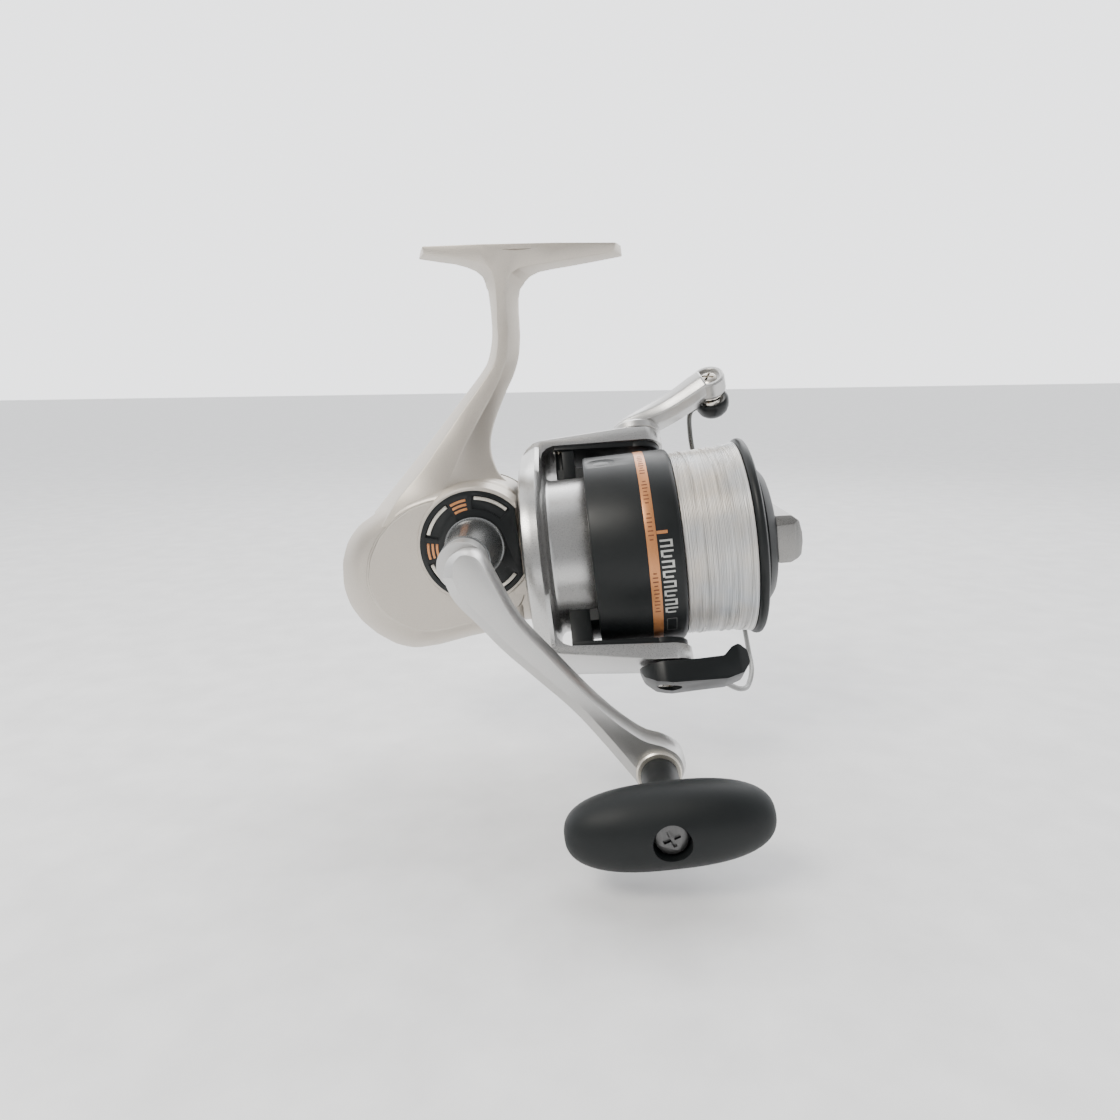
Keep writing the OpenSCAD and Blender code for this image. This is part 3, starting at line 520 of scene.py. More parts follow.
def wound_line(name, colour):
    """Clear nylon in tight turns: milky, glossy, with fine strands and cooler patches."""
    finish, tree, shader, place = finish_nodes(name)
    strands = noise(tree, place, 1.0, 4.0, stretch=(0.0004, 0.03, 0.03))
    patches = noise(tree, place, 70, 3.0)
    light = two_tone(tree, spread(tree, strands, 0, 1, 0.35, 0.65),
                     toned(colour, 0.62), toned(colour, 1.12))
    cool = two_tone(tree, spread(tree, patches, 0, 1), (0.86, 0.92, 1.0, 1), (1.0, 0.94, 0.86, 1))
    give(tree, shader, {
        "Base Color": two_tone(tree, 1, light, cool, "MULTIPLY"), "Roughness": 0.32,
        "Metallic": 0.25, "Subsurface Weight": 0.12, "Subsurface Radius": (0.002, 0.002, 0.0018),
        "Coat Weight": 0.5, "Coat Roughness": 0.2})
    bump(tree, shader, strands, 0.08, 0.5)
    return finish


def felt(name, colour):
    """Pressed felt of the drag washers."""
    finish, tree, shader, place = finish_nodes(name)
    fibres = noise(tree, place, 1600, 6.0)
    give(tree, shader, {
        "Base Color": two_tone(tree, fibres, toned(colour, 0.6), toned(colour, 1.3)),
        "Roughness": 0.95, "Sheen Weight": 0.4})
    bump(tree, shader, fibres, 0.15, 0.7)
    return finish


FINISHES = {}


class REEL_OT_finishes(bpy.types.Operator):
    """Mixes the finishes and gives each shown CAD node its own"""

    bl_idname = "reel.finishes"
    bl_label = "Finishes"

    def execute(self, context):
        colours = paint()
        recipes = {
            metallic_paint: {
                "body_silver": (colours.silver, 0.42, 0.72),
                "rotor_silver": (colours.rotor_silver, 0.30, 0.92, 0.07),
                "arm_silver": (colours.rotor_silver, 0.34, 0.85, 0.08),
                "pale_silver": (colours.pale_silver, 0.32, 0.8, 0.05),
                "orange_paint": (colours.orange, 0.36, 0.55, 0.08, 0.3),
                "gunmetal": ((0.21, 0.215, 0.215), 0.26, 0.8, 0.06, 0.4),
                "knob_metal": ((0.27, 0.265, 0.255), 0.30, 0.9, 0.07, 0.3),
                "mark_silver": ((0.55, 0.55, 0.53), 0.35, 0.6, 0.05),
            },
            moulded: {
                "black_plastic": (colours.black, 0.36, 1500, 0.02, 0.25, 0.1, 0.3),
                "skirt_black": (colours.black, 0.42, 4200, 0.008, 0.3, 0.06, 0.32),
                "grip_black": (toned(colours.black, 1.2)[:3], 0.5, 2600, 0.02, 0.4, 0.0, 0.3),
                "mark_grey": ((0.10, 0.10, 0.10), 0.4, 2500, 0.006, 0.3),
                "mark_brown": ((0.16, 0.055, 0.02), 0.45, 2500, 0.006, 0.3),
                "white_nylon": ((0.62, 0.61, 0.57), 0.42, 900, 0.02, 0.2),
            },
            turned_metal: {
                "bright_screw": ((0.62, 0.585, 0.53), 0.22),
                "chrome_roller": ((0.70, 0.66, 0.60), 0.14),
                "wire_steel": ((0.13, 0.13, 0.125), 0.24),
                "plain_steel": ((0.46, 0.46, 0.46), 0.30),
                "dark_steel": ((0.12, 0.12, 0.12), 0.35),
                "bearing_steel": ((0.52, 0.52, 0.53), 0.22),
                "zinc_gear": ((0.34, 0.34, 0.35), 0.42),
                "brass_gear": ((0.60, 0.42, 0.17), 0.30),
            },
            wound_line: {"clear_line": (colours.line,)},
            felt: {"felt": ((0.42, 0.36, 0.27),)},
        }
        for mixed, kinds in recipes.items():
            for name, values in kinds.items():
                FINISHES[name] = mixed(name, *values)
        for node, part in frame["nodes"].items():
            part.data.materials.clear()
            part.data.materials.append(FINISHES[SLOTS[node]])
        return {"FINISHED"}


# ---------------------------------------------------------------- body

FLANK_Y = 19.0
SEAM_Y = 9.0
CASING = [(-70, 23), (-75.8, 19.8), (-80.2, 15), (-83, 8.5), (-84.1, 0), (-83, -6.5), (-80, -12.4),
          (-75.4, -17.5), (-69.6, -21.8), (-63.5, -24), (-55, -23.6), (-43.9, -21.8), (-22, -19.5),
          (-22, 25.7), (-30, 30), (-45, 30.5), (-59, 27.5)]
FLANK = [(-50, 25.8), (-56, 24.3), (-62, 21), (-67.2, 16.2), (-71, 10), (-72.9, 3), (-72.2, -3.5),
         (-69.2, -9), (-64, -13.4), (-57.3, -16.2), (-49, -16), (-40, -14.4), (-22.6, -12),
         (-22.6, 20), (-30, 23.5), (-40, 25.6)]
# A groove and then the raised rim of the flank: share of the way in, and height
RIM = [(0.862, 16.5), (0.868, 15.9), (0.884, 15.9), (0.895, 17.5), (0.962, 17.95), (0.967, 17.6),
       (0.98, 17.6), (0.99, 18.7), (1.0, FLANK_Y)]
CASING_CENTRE = (-46, 6)
CASING_RAYS = 144

# Stem stations: rear edge, left and right creases of the near face, front edge, half width
STEM = [
    ((-25.4, 73.5), (-22, 73.5), (-19, 73.5), (-14.7, 73.6), 6.5),
    ((-27.3, 68.1), (-23.6, 67.5), (-20, 67.5), (-16, 67.7), 6.7),
    ((-29.8, 64.6), (-26, 64), (-21.8, 64), (-18.5, 61.9), 6.9),
    ((-35.6, 58.7), (-30.1, 59.4), (-24.5, 59), (-22.2, 56.1), 7.3),
    ((-43, 51.4), (-37.5, 51.4), (-31.6, 49.3), (-27.2, 46.5), 8.6),
    ((-50.1, 44.4), (-44, 44), (-37, 41.5), (-28.9, 39.4), 10.6),
    ((-57.7, 37.1), (-52, 35), (-43.5, 31), (-27.5, 32), 13.2),
    ((-65.1, 30), (-60, 27.5), (-48, 25.5), (-23.4, 25.7), 15.8),
    ((-72.6, 23), (-66, 19.5), (-52, 19.5), (-23.4, 20), 17.6),
]

# The foot in the row frame: the near face's outline, and the middle outline that it slopes to
FOOT_FACE = [(-29.8, 0), (-29.4, -2.4), (-24.1, -3.2), (-19.4, -3.9), (-14.6, -4.6), (-11.6, -5.2),
             (-9.6, -6.3), (-8.2, -7.9), (-7.4, -10.2), (-7.0, -13), (-6.8, -18.8), (-6.9, -24.5),
             (-3.6, -24.5), (-3.8, -18.7), (-3.7, -13), (-3.2, -10.5), (-1.9, -8.6), (0.2, -7.4),
             (3.2, -6.7), (8, -6.1), (15.2, -5), (22.3, -3.9), (29.9, -2.8), (30.9, 0), (12, 0),
             (-12, 0)]
FOOT_MIDDLE = [(-31.4, 0), (-32.2, -2.9), (-25.5, -4), (-20.6, -4.7), (-17, -5.7), (-13.9, -7),
               (-11.8, -8.8), (-11, -10.9), (-10.6, -13.9), (-10.3, -17), (-10, -20), (-9.8, -24.5),
               (0.5, -24.5), (0.3, -20), (0.3, -16), (0.8, -13), (1.8, -10.6), (3.6, -8.9),
               (6.4, -7.6), (10.6, -6.8), (17, -5.9), (24, -4.8), (33, -3.3), (32.6, 0), (12, 0),
               (-12, 0)]
FOOT_HALF = 8.25
WING_X = 12
# How fast the foot narrows towards its tips and down the stem
WING_TAPER = 0.11
FOOT_TILT = 0.085
FOOT_END = -24.5
FOOT_TIP = (31.2, 5.2)
STEM_ROUND = 2.2
CREASE_ROUND = 0.35
# The crescent cut along the foot's near face: half length, height and depth
CRESCENT = (4.6, -1.6, 0.42)
HUB_R = 18.85
ROW_TO_SPOOL = SPOOL.inverted() @ ROW
# Heights in the spool frame above which the edges belong to the foot's wings and to the foot
FOOT_BEND_Z = (ROW_TO_SPOOL @ Vector((0, 0, -12))).z
FOOT_Z = (ROW_TO_SPOOL @ Vector((0, 0, FOOT_END))).z


def casing_rings(sign):
    """Rings of the casing from the seam to the raised flank, on one side."""
    waist = ray_outline(rounded(CASING, 14), CASING_CENTRE, CASING_RAYS)
    flank = ray_outline(rounded(FLANK, 12), CASING_CENTRE, CASING_RAYS)
    steps = [(0, SEAM_Y if sign < 0 else SEAM_Y + 0.12), (0, 10.2)]
    for t in (0.0, 0.2, 0.4, 0.6, 0.8, 1.0):
        steps.append((0.04 + 0.84 * t, 10.8 + 6.3 * math.sin(t * math.pi / 2) ** 0.85))
    rings = []
    for share, y in steps + RIM:
        ring = []
        for outer, inner in zip(waist, flank):
            point = Vector(outer).lerp(Vector(inner), share)
            if y == FLANK_Y:
                point = point.lerp(Vector(CASING_CENTRE), 0.01)
            ring.append((point.x, sign * y, point.y))
        rings.append(ring)
    return rings


def hub_ring(y0, y1, inner):
    """Machined ring round the trim plate, cut straight beside the rotor."""
    ring = standing(AXLE, [(inner, y0), (HUB_R - 0.5, y0),
                           (HUB_R, y0 + 0.5 * math.copysign(1, y1 - y0)), (HUB_R + 1.1, y1),
                           (inner, y1)])
    cut_plane(ring, (-22.05, 0, 0), (1, 0, 0))
    return ring


def foot_side(sign):
    """Outline of the foot's near or far face, narrower towards its tips and down the stem."""
    return [(x, sign * (FOOT_HALF - max(0, abs(x) - WING_X) * WING_TAPER + FOOT_TILT * z), z)
            for x, z in FOOT_FACE]


def foot_root():
    """The six corners where the foot ends and the stem begins."""
    left, right = [x for x, z in FOOT_FACE if z == FOOT_END]
    rear, front = [x for x, z in FOOT_MIDDLE if z == FOOT_END]
    half = FOOT_HALF + FOOT_TILT * FOOT_END
    return [(rear, 0, FOOT_END), (left, -half, FOOT_END), (right, -half, FOOT_END),
            (front, 0, FOOT_END), (right, half, FOOT_END), (left, half, FOOT_END)]


class REEL_OT_body(bpy.types.Operator):
    """Casing, side cover, stem and foot"""

    bl_idname = "reel.body"
    bl_label = "Body"

    def execute(self, context):
        near = loft(casing_rings(-1)[::-1] + casing_rings(1)[:1])
        # boss that carries the rotor
        boss = turned([(0, -26), (20.3, -26), (20.3, -19.6), (19.7, -19), (16, -18.9), (16, -8.2),
                       (15.5, -7.8), (0, -7.8)])
        join(near, boss)
        join(near, hub_ring(-20.9, -15, 17.75))
        add("body_shell", near, SPOOL, 30, "frame", "body_silver", "body_housing")

        far = loft(casing_rings(1))
        join(far, hub_ring(20.9, 15, 17.6))
        cap = standing(AXLE, [(0, 15), (17.7, 15), (17.7, 19.6), (16.9, 20), (9.6, 20), (9.2, 20.6),
                              (0, 20.6)])
        cut_plane(cap, (-22.1, 0, 0), (1, 0, 0))
        join(far, cap)
        add("side_cover_shell", far, SPOOL, 30, "frame", "body_silver", "side_cover")

        foot = loft([foot_side(-1), [(x, 0, z) for x, z in FOOT_MIDDLE], foot_side(1)])
        weld(foot)
        for end in (-1, 1):
            bmesh.ops.bisect_plane(foot, geom=everything(foot), plane_co=(end * WING_X, 0, 0),
                                   plane_no=(1, 0, 0))
            pare(foot, ((end * FOOT_TIP[0], FOOT_TIP[1]), (end * 0.8, 0.6)))
        root = [f for f in foot.faces if max(v.co.z for v in f.verts) < FOOT_END + 0.01]
        bmesh.ops.delete(foot, geom=root, context="FACES")
        foot.transform(ROW_TO_SPOOL)

        rings = [[ROW_TO_SPOOL @ Vector(p) for p in foot_root()]]
        for rear, left, right, front, half in STEM:
            rings.append([(rear[0], 0, rear[1]), (left[0], -half, left[1]),
                          (right[0], -half, right[1]), (front[0], 0, front[1]),
                          (right[0], half, right[1]), (left[0], half, left[1])])
        stem = loft(smooth_rings(rings, 5), cap=False)
        join(stem, foot)
        bmesh.ops.remove_doubles(stem, verts=stem.verts, dist=1e-3)
        bmesh.ops.holes_fill(stem, edges=[e for e in stem.edges if e.is_boundary], sides=0)
        soften(stem, STEM_ROUND, 20, 5, lambda e: max(abs(v.co.y) for v in e.verts) < 0.01
               and max(v.co.z for v in e.verts) < FOOT_BEND_Z)
        soften(stem, CREASE_ROUND, 14, 2,
               lambda e: along_crease(e) or min(v.co.z for v in e.verts) > FOOT_Z)
        foot_piece = to_object("stem_and_foot", stem, SPOOL, 28)
        half, height, depth = CRESCENT
        groove = bar([(half * (k / 4 - 1), height - depth * math.sin(math.pi * k / 8))
                      for k in range(9)], -9.4, -7.5)
        cut_out(foot_piece, to_object("crescent", groove, ROW))
        fit(foot_piece, "frame", "body_silver")
        return {"FINISHED"}


def along_crease(edge):
    """A lengthwise edge of the stem's near or far face."""
    a, b = (v.co for v in edge.verts)
    return abs(a.z - b.z) > 0.3 and min(abs(a.y), abs(b.y)) > 5


# ---------------------------------------------------------------- handle

ARM_FACE = [(-41.2, 9), (-39.3, 13.6), (-35.4, 15.9), (-31.2, 15.2), (-28.7, 12.3), (-25.8, 4.8),
            (-21.5, -5.3), (-14.3, -15.5), (-1.9, -31.9), (8.5, -42.2), (15.1, -45.4), (19.3, -49),
            (20.4, -54.2), (17.6, -59.4), (12, -61), (7, -59), (4.2, -54.5), (-8.1, -35.8),
            (-18.2, -24), (-27, -14.1), (-33, -6), (-38.9, 1.9)]
# Ridge of the arm: the flat face starts this far in from the left and right edges
ARM_LEFT_BEVEL = 3.1
ARM_RIGHT_BEVEL = 0.9
# The crossbar: half sizes, place along the knob's axis, lean in degrees and bluntness
GRIP_HALF = (26.5, 9.8, 10.9)
GRIP_Y = -88
GRIP_LEAN = -1
GRIP_BLUNT = 2.6


class REEL_OT_handle(bpy.types.Operator):
    """Sleeve, crank arm, knob ring, grip and its neck"""

    bl_idname = "reel.handle"
    bl_label = "Handle"

    def execute(self, context):
        sleeve = standing(AXLE, [(2.3, -18.7), (3.6, -18.7), (3.6, -21.9), (9.3, -21.9),
                                 (9.6, -22.2), (9.6, -23.2), (9.35, -23.5), (8.95, -23.6),
                                 (8.75, -24.2), (8.5, -26), (7.35, -43.1), (7.2, -43.2),
                                 (7.2, -43.5), (7.5, -43.7), (7.5, -44.4), (7.2, -44.7),
                                 (6.6, -44.7), (2.3, -44.7)])
        add("sleeve", sleeve, SPOOL, 20, "handle", "gunmetal", "handle_sleeve")

        smooth = [tuple(p) for p in smooth_points(ARM_FACE + ARM_FACE[:1], 4)][:-1]
        middle = len(smooth)
        inner = []
        for i, point in enumerate(smooth):
            before, after = Vector(smooth[i - 1]), Vector(smooth[(i + 1) % middle])
            way = (after - before).normalized()
            inward = Vector((way.y, -way.x))
            share = max(0, min(1, 0.5 + 0.9 * (inward.x * 0.75 + inward.y * 0.66)))
            width = ARM_RIGHT_BEVEL + (ARM_LEFT_BEVEL - ARM_RIGHT_BEVEL) * share
            inner.append(tuple(Vector(point) + inward * width))
        arm = loft([[(x, -51.6, z) for x, z in smooth], [(x, -56.4, z) for x, z in smooth],
                    [(x, -59.2, z) for x, z in inner]])
        soften(arm, 0.45, 24, 3)
        join(arm, standing(AXLE, [(2.3, -44.7), (6.9, -44.7), (7.1, -45.2), (7.1, -51.7),
                                  (2.3, -51.7)]))
        add("crank_arm", arm, SPOOL, 30, "handle", "arm_silver", "handle_arm")

        ring = standing(KNOB, [(2.6, -59.15), (6.2, -59.15), (6.5, -59.4), (6.5, -60.4),
                               (6.1, -60.8), (2.6, -60.8)])
        add("knob_ring", ring, SPOOL, 20, "handle", "pale_silver", "knob_base_ring")

        grip = bmesh.new()
        bmesh.ops.create_uvsphere(grip, u_segments=64, v_segments=40, radius=1)
        for vert in grip.verts:
            # an oval crossbar with blunt round ends, its poles at the ends
            x, y, z = vert.co.z, vert.co.y, -vert.co.x
            reach = (abs(x) ** GRIP_BLUNT + math.hypot(y, z) ** GRIP_BLUNT) ** (-1 / GRIP_BLUNT)
            vert.co = [reach * half * c for half, c in zip(GRIP_HALF, (x, y, z))]
        turn(grip, GRIP_LEAN, "Y")
        shift(grip, KNOB.x, GRIP_Y, KNOB.z)
        grip_piece = to_object("crossbar_grip", grip, SPOOL, 60)
        neck = standing(KNOB, [(2.7, -61.1), (5.0, -61.1), (5.3, -61.5), (5.3, -64), (5.5, -69),
                               (6.1, -75), (7.4, -79), (8.2, -81), (8.2, -84), (2.7, -84)])
        add("grip_neck", neck, SPOOL, 40, "handle_knob", "grip_black")
        well = standing(KNOB, [(0, -93.0), (4.6, -93.0), (4.75, -93.2), (4.9, -110), (0, -110)], 64)
        cut_out(grip_piece, to_object("well", well, SPOOL))
        fit(grip_piece, "handle_knob", "grip_black", "knob_grip")
        return {"FINISHED"}


# ---------------------------------------------------------------- rotor

ARM_SIDE = [(-20.5, 31.2), (-18.6, 34.6), (-16.2, 36.9), (-13.2, 38.1), (16, 41.7), (28.6, 42),
            (29, 41.2), (29, 37), (-9.5, 35.6), (-11.6, 34.8), (-13.4, 33), (-14, 30.6), (-14, 27),
            (-20.5, 27)]
PIVOT_X = 20.0
# Rings of the oval plate: place, height of the arms' roots and radius
FLANGE = [(-21, 0, 28.4), (-21, 31.5, 31.5), (-20.4, 33.6, 32.6), (-19, 35.2, 33),
          (-17.4, 36.6, 33), (-15.6, 37.5, 33), (-14.3, 37.2, 31.2), (-13.4, 0, 26.3),
          (-17, 0, 26.3)]


def rotor_arm():
    """One rotor arm: bent side view cut to its plan, with its edges rounded."""
    arm = bar(ARM_SIDE, -18, 18)
    pare(arm, ((-13, 14), (4.6, 31)), ((-21, 15.5), (-1.5, 8)))
    fan_cuts(arm, PIVOT_X - 0.5, 9.3, -77, 11, 15)
    soften(arm, 2.0, 28, 3, lambda e: min(v.co.z for v in e.verts) > 37.2)
    soften(arm, 0.5, 40, 2, lambda e: min(v.co.z for v in e.verts) > 28)
    return arm


def flange_outline(height, radius, half):
    """A circle drawn out to the roots of both arms, as (y, z)."""
    if height <= radius:
        corner, tangent = [], 0
    else:
        corner = [(half, height)]
        tangent = math.degrees(math.atan2(half, height)
                               + math.acos(radius / math.hypot(half, height)))
    arc = []
    for k in range(31):
        angle = math.radians(tangent + (180 - 2 * tangent) * k / 30)
        arc.append((radius * math.sin(angle), radius * math.cos(angle)))
    right = corner + arc[:None if corner else -1] + [(y, -z) for y, z in corner]
    return rounded(right + [(-y, -z) for y, z in right], 4)


def flange():
    """Oval plate at the rotor's back that curves into both arms, with a chamfered rim."""
    rings = []
    for x, height, radius in FLANGE:
        points = flange_outline(height, radius, 13.2)
        rings.append([(x, y, z) for y, z in ray_outline(points, (0, 0), 144)])
    return loft(rings + rings[:1], cap=False)


class REEL_OT_rotor(bpy.types.Operator):
    """Rotor with its two arms, their inner covers and the black shells under the arms, which are partly painted
    shade
    """

    bl_idname = "reel.rotor"
    bl_label = "Rotor"

    def execute(self, context):
        rotor = turned([(28.6, -20.8), (30, -20.8), (30, -15), (28, -13.4), (26.6, -12.6),
                        (25.95, -11.4), (25.9, 15.2), (25.5, 16.6), (24.6, 17.3), (3.4, 17.4),
                        (3.4, -5.4), (8.4, -5.4), (8.4, 14.6), (23.4, 14.6), (23.4, -12.4),
                        (28.6, -17)])
        join(rotor, flange())
        for _ in range(2):
            join(rotor, rotor_arm())
            turn(rotor, 180, "X")
        add("rotor_casting", rotor, ROTOR, 30, "rotor", "rotor_silver", "rotor")

        for name, place in (("arm_cover_upper", ROTOR), ("arm_cover_lower", FLIPPED)):
            fit(worked_copy(name, "_moulded", 0.35), "rotor", "black_plastic", name)
            # Black shell over the barrel under each arm: partly the cover's root, partly painted shade where the
            # arm shades the barrel
            cover_root_and_shade = turned([(26.0, -9.2), (29.4, -9.2), (29.4, 4), (26.0, 4)])
            pare(cover_root_and_shade, ((0, 10.9), (0, 1)))
            cut_plane(cover_root_and_shade, (0, 0, 0), (0, 0, -1))
            add(name + "_tongue", cover_root_and_shade, place, 30, "rotor", "black_plastic")
        return {"FINISHED"}


# ---------------------------------------------------------------- bail

BOW = [(48.4, 2.6, 51.4), (46.6, 5.6, 54.4), (43.8, 8.4, 56.6), (41.9, 11, 55.6),
       (41.5, 14.2, 51.4), (42, 19.2, 45), (45, 31, 35.5), (49.5, 44, 21), (54, 53, 4),
       (55.4, 54, -14), (54.6, 48, -28), (53.4, 41.5, -37), (50, 34.5, -44), (46, 26, -46.6),
       (41.5, 16.5, -47), (38.4, 9, -46.6), (36.6, 4.5, -46.4)]
LEVER_SIDE = [(11, -43), (12.4, -46), (16, -48.4), (21, -49.4), (38, -49.4), (43.5, -47.8),
              (46, -44.4), (45.6, -40.4), (43, -38.4), (40.6, -39.4), (38, -42), (30, -42.4),
              (11, -42.4)]

# Bail arm stations: centre, half thickness and half width
ARM_STATIONS = [
    ((13.4, 1.2, 45.4), 1.4, 5.6),
    ((17, 0.6, 46.2), 2.2, 7.0),
    ((22, -0.2, 47.4), 3.0, 7.2),
    ((27.5, -1.6, 48.8), 3.7, 6.4),
    ((33, -3.4, 50.4), 4.2, 5.6),
    ((38.5, -5.8, 52.3), 4.5, 5.2),
    ((43, -8.0, 54.0), 4.7, 5.0),
    ((46.6, -9.6, 55.4), 4.6, 4.8),
]


class REEL_OT_bail(bpy.types.Operator):
    """Bail arm, bow wire, lower lever, roller and line guide cap"""

    bl_idname = "reel.bail"
    bl_label = "Bail"

    def execute(self, context):
        rings = []
        for i, (centre, thick, half) in enumerate(ARM_STATIONS):
            centre = Vector(centre)
            before, after = ARM_STATIONS[max(i - 1, 0)], ARM_STATIONS[:i + 2][-1]
            way = (Vector(after[0]) - Vector(before[0])).normalized()
            side = way.cross(Vector((0, 0, 1))).normalized()
            up = side.cross(way).normalized()
            # faceted section: flat top, broad side facet, flat underside
            rings.append([centre + side * half * s + up * thick * u for s, u in (
                (1.0, 0.10), (0.72, 0.95), (-0.55, 1.0), (-1.0, 0.25), (-0.85, -0.75), (0.2, -1.0),
                (0.9, -0.75))])
        arm = loft(smooth_rings(rings, 4))
        soften(arm, 0.6, 20, 3)
        base = turned([(1.7, 42.3), (8.5, 42.3), (8.8, 42.6), (8.8, 44.6), (8.2, 45.4), (7.4, 46),
                       (1.7, 46.2)], axis="Z")
        shift(base, PIVOT_X, 0, 0)
        join(arm, base)
        arm.transform(ROTOR)
        boss = turned([(1.6, 1.3), (4.1, 1.3), (4.1, 0.25), (4.4, 0), (5.2, 0), (5.8, 0.6),
                       (5.8, 5.6), (5.3, 6.4), (4.6, 7), (1.6, 7)], axis="Z", steps=96)
        boss.transform(ROLLER_PLACE)
        join(arm, boss)
        add("bail_arm_casting", arm, Matrix(), 30, "bail", "arm_silver", "bail_arm")

        wire = bmesh.new()
        tube(wire, smooth_points(BOW, 8), 0.92, 16)
        add("bow_wire", wire, ROTOR, 60, "bail", "wire_steel", "bail_wire")

        lever = bar(rounded(LEVER_SIDE, 1.6, 3), -9, 9)
        pare(lever, ((28, 7.7), (2.0, 16)), ((43, 5.6), (2.1, 3.5)))
        fan_cuts(lever, PIVOT_X, 8.8, 96, 10.5, 17)
        soften(lever, 1.5, 24, 4, lambda e: min(v.co.z for v in e.verts) < -42.6)
        lever_piece = to_object("lower_lever", lever, ROTOR, 35)
        seat = turned([(0, -60), (4.1, -60), (3.9, -46.6), (0, -46.6)], axis="Z", steps=64)
        shift(seat, PIVOT_X, 0, 0)
        cut_out(lever_piece, to_object("seat", seat, ROTOR))
        fit(lever_piece, "bail", "black_plastic", "bail_lever")

        cap = turned([(0, 11), (3.7, 11), (4.2, 10.1), (4.7, 9.75), (5.3, 9.7), (5.8, 10.1),
                      (6.05, 10.9), (6.05, 12), (5.8, 13.6), (5.2, 15), (4.3, 16), (3.0, 16.8),
                      (1.5, 17.15), (0, 17.2)], axis="Z", steps=96)
        add("guide_cap", cap, ROLLER_PLACE, 40, "bail", "black_plastic", "line_guide_cap")

        screw = turned([(0, 0.3), (1.6, 0.32), (2.6, 0.5), (3.2, 0.9), (3.3, 1.35), (1.45, 1.4),
                        (1.45, 13), (0, 13)], axis="Z", steps=64)
        screw_piece = to_object("roller_screw_turned", screw, ROLLER_PLACE, 40)
        for angle in (25, 115):
            blade = bmesh.new()
            bmesh.ops.create_cube(blade, size=1, matrix=Matrix.Rotation(
                math.radians(angle), 4, "Z") @ Matrix.Diagonal((4.4, 0.85, 2.3, 1)))
            cut_out(screw_piece, to_object("blade", blade, ROLLER_PLACE))
        fit(screw_piece, "bail", "bright_screw", "roller_screw")

        roller = turned([(2.25, 7.15), (4.3, 7.15), (4.4, 7.3), (4.35, 7.7), (3.8, 8.2), (3.3, 8.6),
                         (3.15, 9.1), (3.25, 9.6), (3.6, 10.1), (3.9, 10.5), (3.85, 10.85),
                         (2.25, 10.85)], axis="Z", steps=96)
        add("roller", roller, ROLLER_PLACE, 40, "line_roller_body", "chrome_roller", "line_roller")
        return {"FINISHED"}


# ---------------------------------------------------------------- spool

SKIRT_R = 32.3
BAND_X = (17.0, 20.2)
LINE_X = (28.5, 50.3)
FINGER_SIDE = [(59.2, -7.2), (63.5, -7.4), (66.9, -5), (67.7, -1), (67.7, 2), (66.8, 6.0),
               (64.6, 8), (59.2, 8.3)]
# Middle of the marks beside the band, middle of the badge in degrees, and the line clip's place
MARKS_X = 22.9
BADGE_ANGLE = 130.6
CLIP_X = 6.0
CLIP_ANGLE = 16


def line_radius(x):
    """Radius of the wound line: nearly level, rising towards the lip."""
    t = (x - LINE_X[0]) / (LINE_X[1] - LINE_X[0])
    return 30.75 + 0.35 * t + 0.95 * t ** 6


def on_skirt(x, angle, radius, size):
    """Place and size of a shape on the skirt, at an angle from +Z towards -Y."""
    return (Matrix.Rotation(math.radians(angle), 4, "X") @ Matrix.Translation((x, 0, radius))
            @ Matrix.Diagonal((*size, 1)))


def skirt_mark(bm, x, angle, length, width, radius=SKIRT_R, height=0.07):
    """A flat mark on the skirt, its length along X."""
    place = on_skirt(x, angle, radius, (length, width, height))
    bmesh.ops.create_cube(bm, size=1, matrix=place)


def clip_oval(radius, size):
    """An oval at the line clip's place."""
    bm = bmesh.new()
    bmesh.ops.create_uvsphere(bm, u_segments=48, v_segments=24, radius=1,
                              matrix=on_skirt(CLIP_X, CLIP_ANGLE, radius, size))
    return bm


